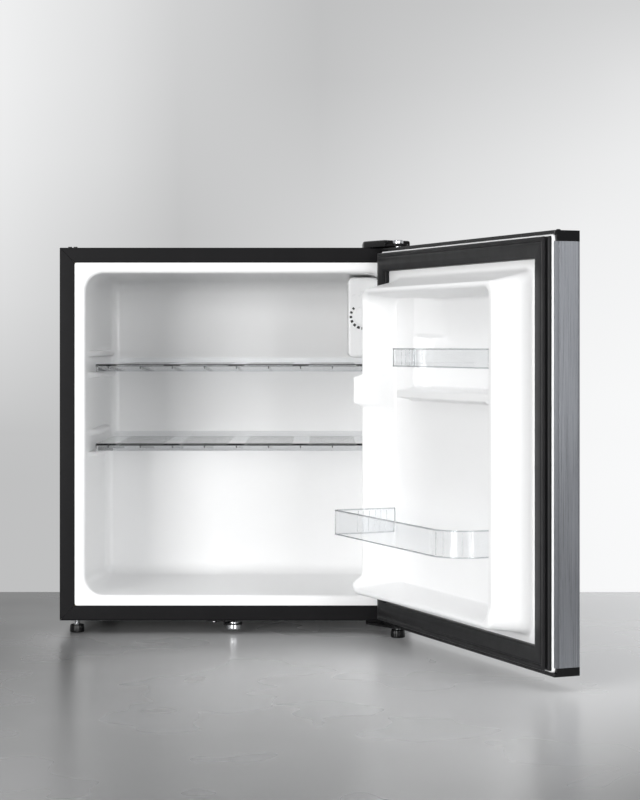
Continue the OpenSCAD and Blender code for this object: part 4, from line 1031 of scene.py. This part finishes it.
def graded(name, rows, axis, rough, spec, emit, gain=1.0):
    """Studio surface with painted light and shade: its tone drifts slowly from side to side and along one axis; rows
    are (place, [(across, tone 0-255)]).
    """
    m, nt, b = base_nodes(name)
    tc = nt.nodes.new("ShaderNodeTexCoord")
    sp = nt.nodes.new("ShaderNodeSeparateXYZ")
    nt.links.new(tc.outputs["Object"], sp.inputs[0])
    dx = nt.nodes.new("ShaderNodeMath")
    dx.operation = "SUBTRACT"
    dx.inputs[1].default_value = 0.028
    dy = nt.nodes.new("ShaderNodeMath")
    dy.operation = "ADD"
    dy.inputs[1].default_value = 2.9
    lo = nt.nodes.new("ShaderNodeMath")
    lo.operation = "MAXIMUM"
    lo.inputs[1].default_value = 1.8
    dv = nt.nodes.new("ShaderNodeMath")
    dv.operation = "DIVIDE"
    nt.links.new(sp.outputs["X"], dx.inputs[0])
    nt.links.new(sp.outputs["Y"], dy.inputs[0])
    nt.links.new(dx.outputs[0], dv.inputs[0])
    nt.links.new(dy.outputs[0], lo.inputs[0])
    nt.links.new(lo.outputs[0], dv.inputs[1])
    fx = span(nt, dv.outputs[0], 0, 1, -0.155, 0.158)

    def ramp(stops):
        r = nt.nodes.new("ShaderNodeValToRGB")
        r.color_ramp.interpolation = "LINEAR"
        el = r.color_ramp.elements
        while len(el) < len(stops):
            el.new(0.5)
        for e, (p, v) in zip(el, stops):
            v = gain * ((v / 255 + 0.055) / 1.055) ** 2.4
            e.position = p
            e.color = (v * 0.99, v * 0.995, v * 1.0, 1)
        nt.links.new(fx, r.inputs["Fac"])
        return r.outputs["Color"]

    col = ramp(rows[0][1])
    for (a, _), (c, stops) in zip(rows, rows[1:]):
        mx = nt.nodes.new("ShaderNodeMix")
        mx.data_type = "RGBA"
        nt.links.new(span(nt, sp.outputs[axis], 0, 1, a, c), mx.inputs[0])
        nt.links.new(col, mx.inputs[6])
        nt.links.new(ramp(stops), mx.inputs[7])
        col = mx.outputs[2]
    # emitting surfaces glow with these painted tones in place of being lit
    if emit:
        em = nt.nodes.new("ShaderNodeEmission")
        nt.links.new(col, em.inputs["Color"])
        nt.links.new(em.outputs[0], nt.nodes["Material Output"].inputs["Surface"])
    else:
        nt.links.new(col, b.inputs["Base Color"])
        n = noise(nt, 5.0, 2.0)
        nt.links.new(span(nt, n.outputs["Fac"], rough[0], rough[1]), b.inputs["Roughness"])
        b.inputs["Specular IOR Level"].default_value = spec
    return m


WX = (0.006, 0.169, 0.278, 0.495, 0.697, 0.915, 0.98)
FXS = (0.04, 0.19, 0.394, 0.597, 0.786, 0.948)
wrow = lambda z, *t: (z, list(zip(WX, t)))
frow = lambda y, *t: (y, list(zip(FXS, t)))
# backdrop and sweep glow; the light falloff across and up them is painted into their emitted tone
backdrop_painted_light_m = graded("backdrop", [wrow(0.02, 196, 195, 198, 226, 241, 248, 249), wrow(0.158, 204, 196, 199, 224, 240, 248, 249), wrow(0.567, 221, 205, 198, 218, 236, 244, 245),
                             wrow(0.8325, 228, 210, 196, 212, 230, 241, 242), wrow(1.139, 235, 219, 202, 204, 221, 234, 237), wrow(1.466, 239, 223, 207, 195, 209, 222, 227),
                             wrow(1.772, 240, 225, 210, 193, 200, 210, 212)], "Z", (0.8, 0.9), 0.2, True)
sweep_painted_light_m = graded("sweep", [wrow(0.5, 193, 193, 197, 226, 242, 249, 250), wrow(3.0, 193, 194, 197, 226, 242, 249, 250), wrow(5.5, 196, 195, 198, 226, 241, 248, 249)], "Y", (0.8, 0.9), 0.1, True)
# floor colour carries painted shadow under the cabinet (dark left end of the nearest rows) and painted reflection of
# the bright door and interior towards the right
floor_painted_light_m = graded("floor", [frow(-0.915, 138, 142, 138, 150, 170, 122), frow(-0.577, 112, 150, 158, 184, 226, 204), frow(-0.401, 94, 142, 172, 216, 248, 242),
                           frow(-0.2, 50, 142, 188, 242, 250, 250), frow(-0.028, 10, 182, 206, 238, 252, 258), frow(0.42, 5, 60, 150, 225, 254, 262)], "Y", (0.26, 0.30), 0.42, False, FLOOR_GAIN)
stage_mesh("floor", [(-9, -6.5, 0), (9, -6.5, 0), (9, 0.4726, 0), (-9, 0.4726, 0)], [(0, 1, 2, 3)], floor_painted_light_m)
stage_mesh("sweep", [(-9, 0.4726, 0), (9, 0.4726, 0), (9, 5.5, 0), (-9, 5.5, 0)], [(0, 1, 2, 3)], sweep_painted_light_m)
stage_mesh("backdrop", [(-12, 5.5, -0.02), (12, 5.5, -0.02), (12, 5.5, 8), (-12, 5.5, 8)], [(0, 1, 2, 3)], backdrop_painted_light_m)


def area(name, loc, aim, size, power, color=(1, 1, 1), size_y=None, spread=180):
    d = bpy.data.lights.new(name, "AREA")
    d.shape = "RECTANGLE"
    d.size = size
    d.size_y = size_y or size
    d.energy = power
    d.color = color
    d.spread = math.radians(spread)
    o = bpy.data.objects.new(name, d)
    o.location = loc
    o.rotation_euler = (Vector(aim) - Vector(loc)).to_track_quat("-Z", "Y").to_euler()
    bpy.context.scene.collection.objects.link(o)
    return o


area("key", (-2.3, -2.4, 2.5), (0.0, 0.1, 0.25), 1.6, 13.5, (1, 0.997, 0.99))
area("second", (2.1, -2.7, 2.3), (0.0, 0.1, 0.25), 1.6, 7, (0.99, 0.995, 1.0))
area("top", (0.1, -0.5, 2.7), (0.0, 0.0, 0.0), 2.2, 7)
area("fill_left", (-1.5, -2.75, 0.5), (-0.08, 0.2, 0.32), 1.1, 24.5, (1, 0.998, 0.992), 0.8, 125)
area("fill_right", (1.3, -2.9, 0.5), (-0.08, 0.2, 0.32), 1.1, 13.5, (0.995, 0.998, 1.0), 0.8, 125)
bpy.context.scene.view_settings.view_transform = "Standard"
world = bpy.data.worlds.new("world")
bpy.context.scene.world = world
world.use_nodes = True
bg = world.node_tree.nodes["Background"]
bg.inputs["Color"].default_value = (0.985, 0.99, 1.0, 1)
bg.inputs["Strength"].default_value = 0.5
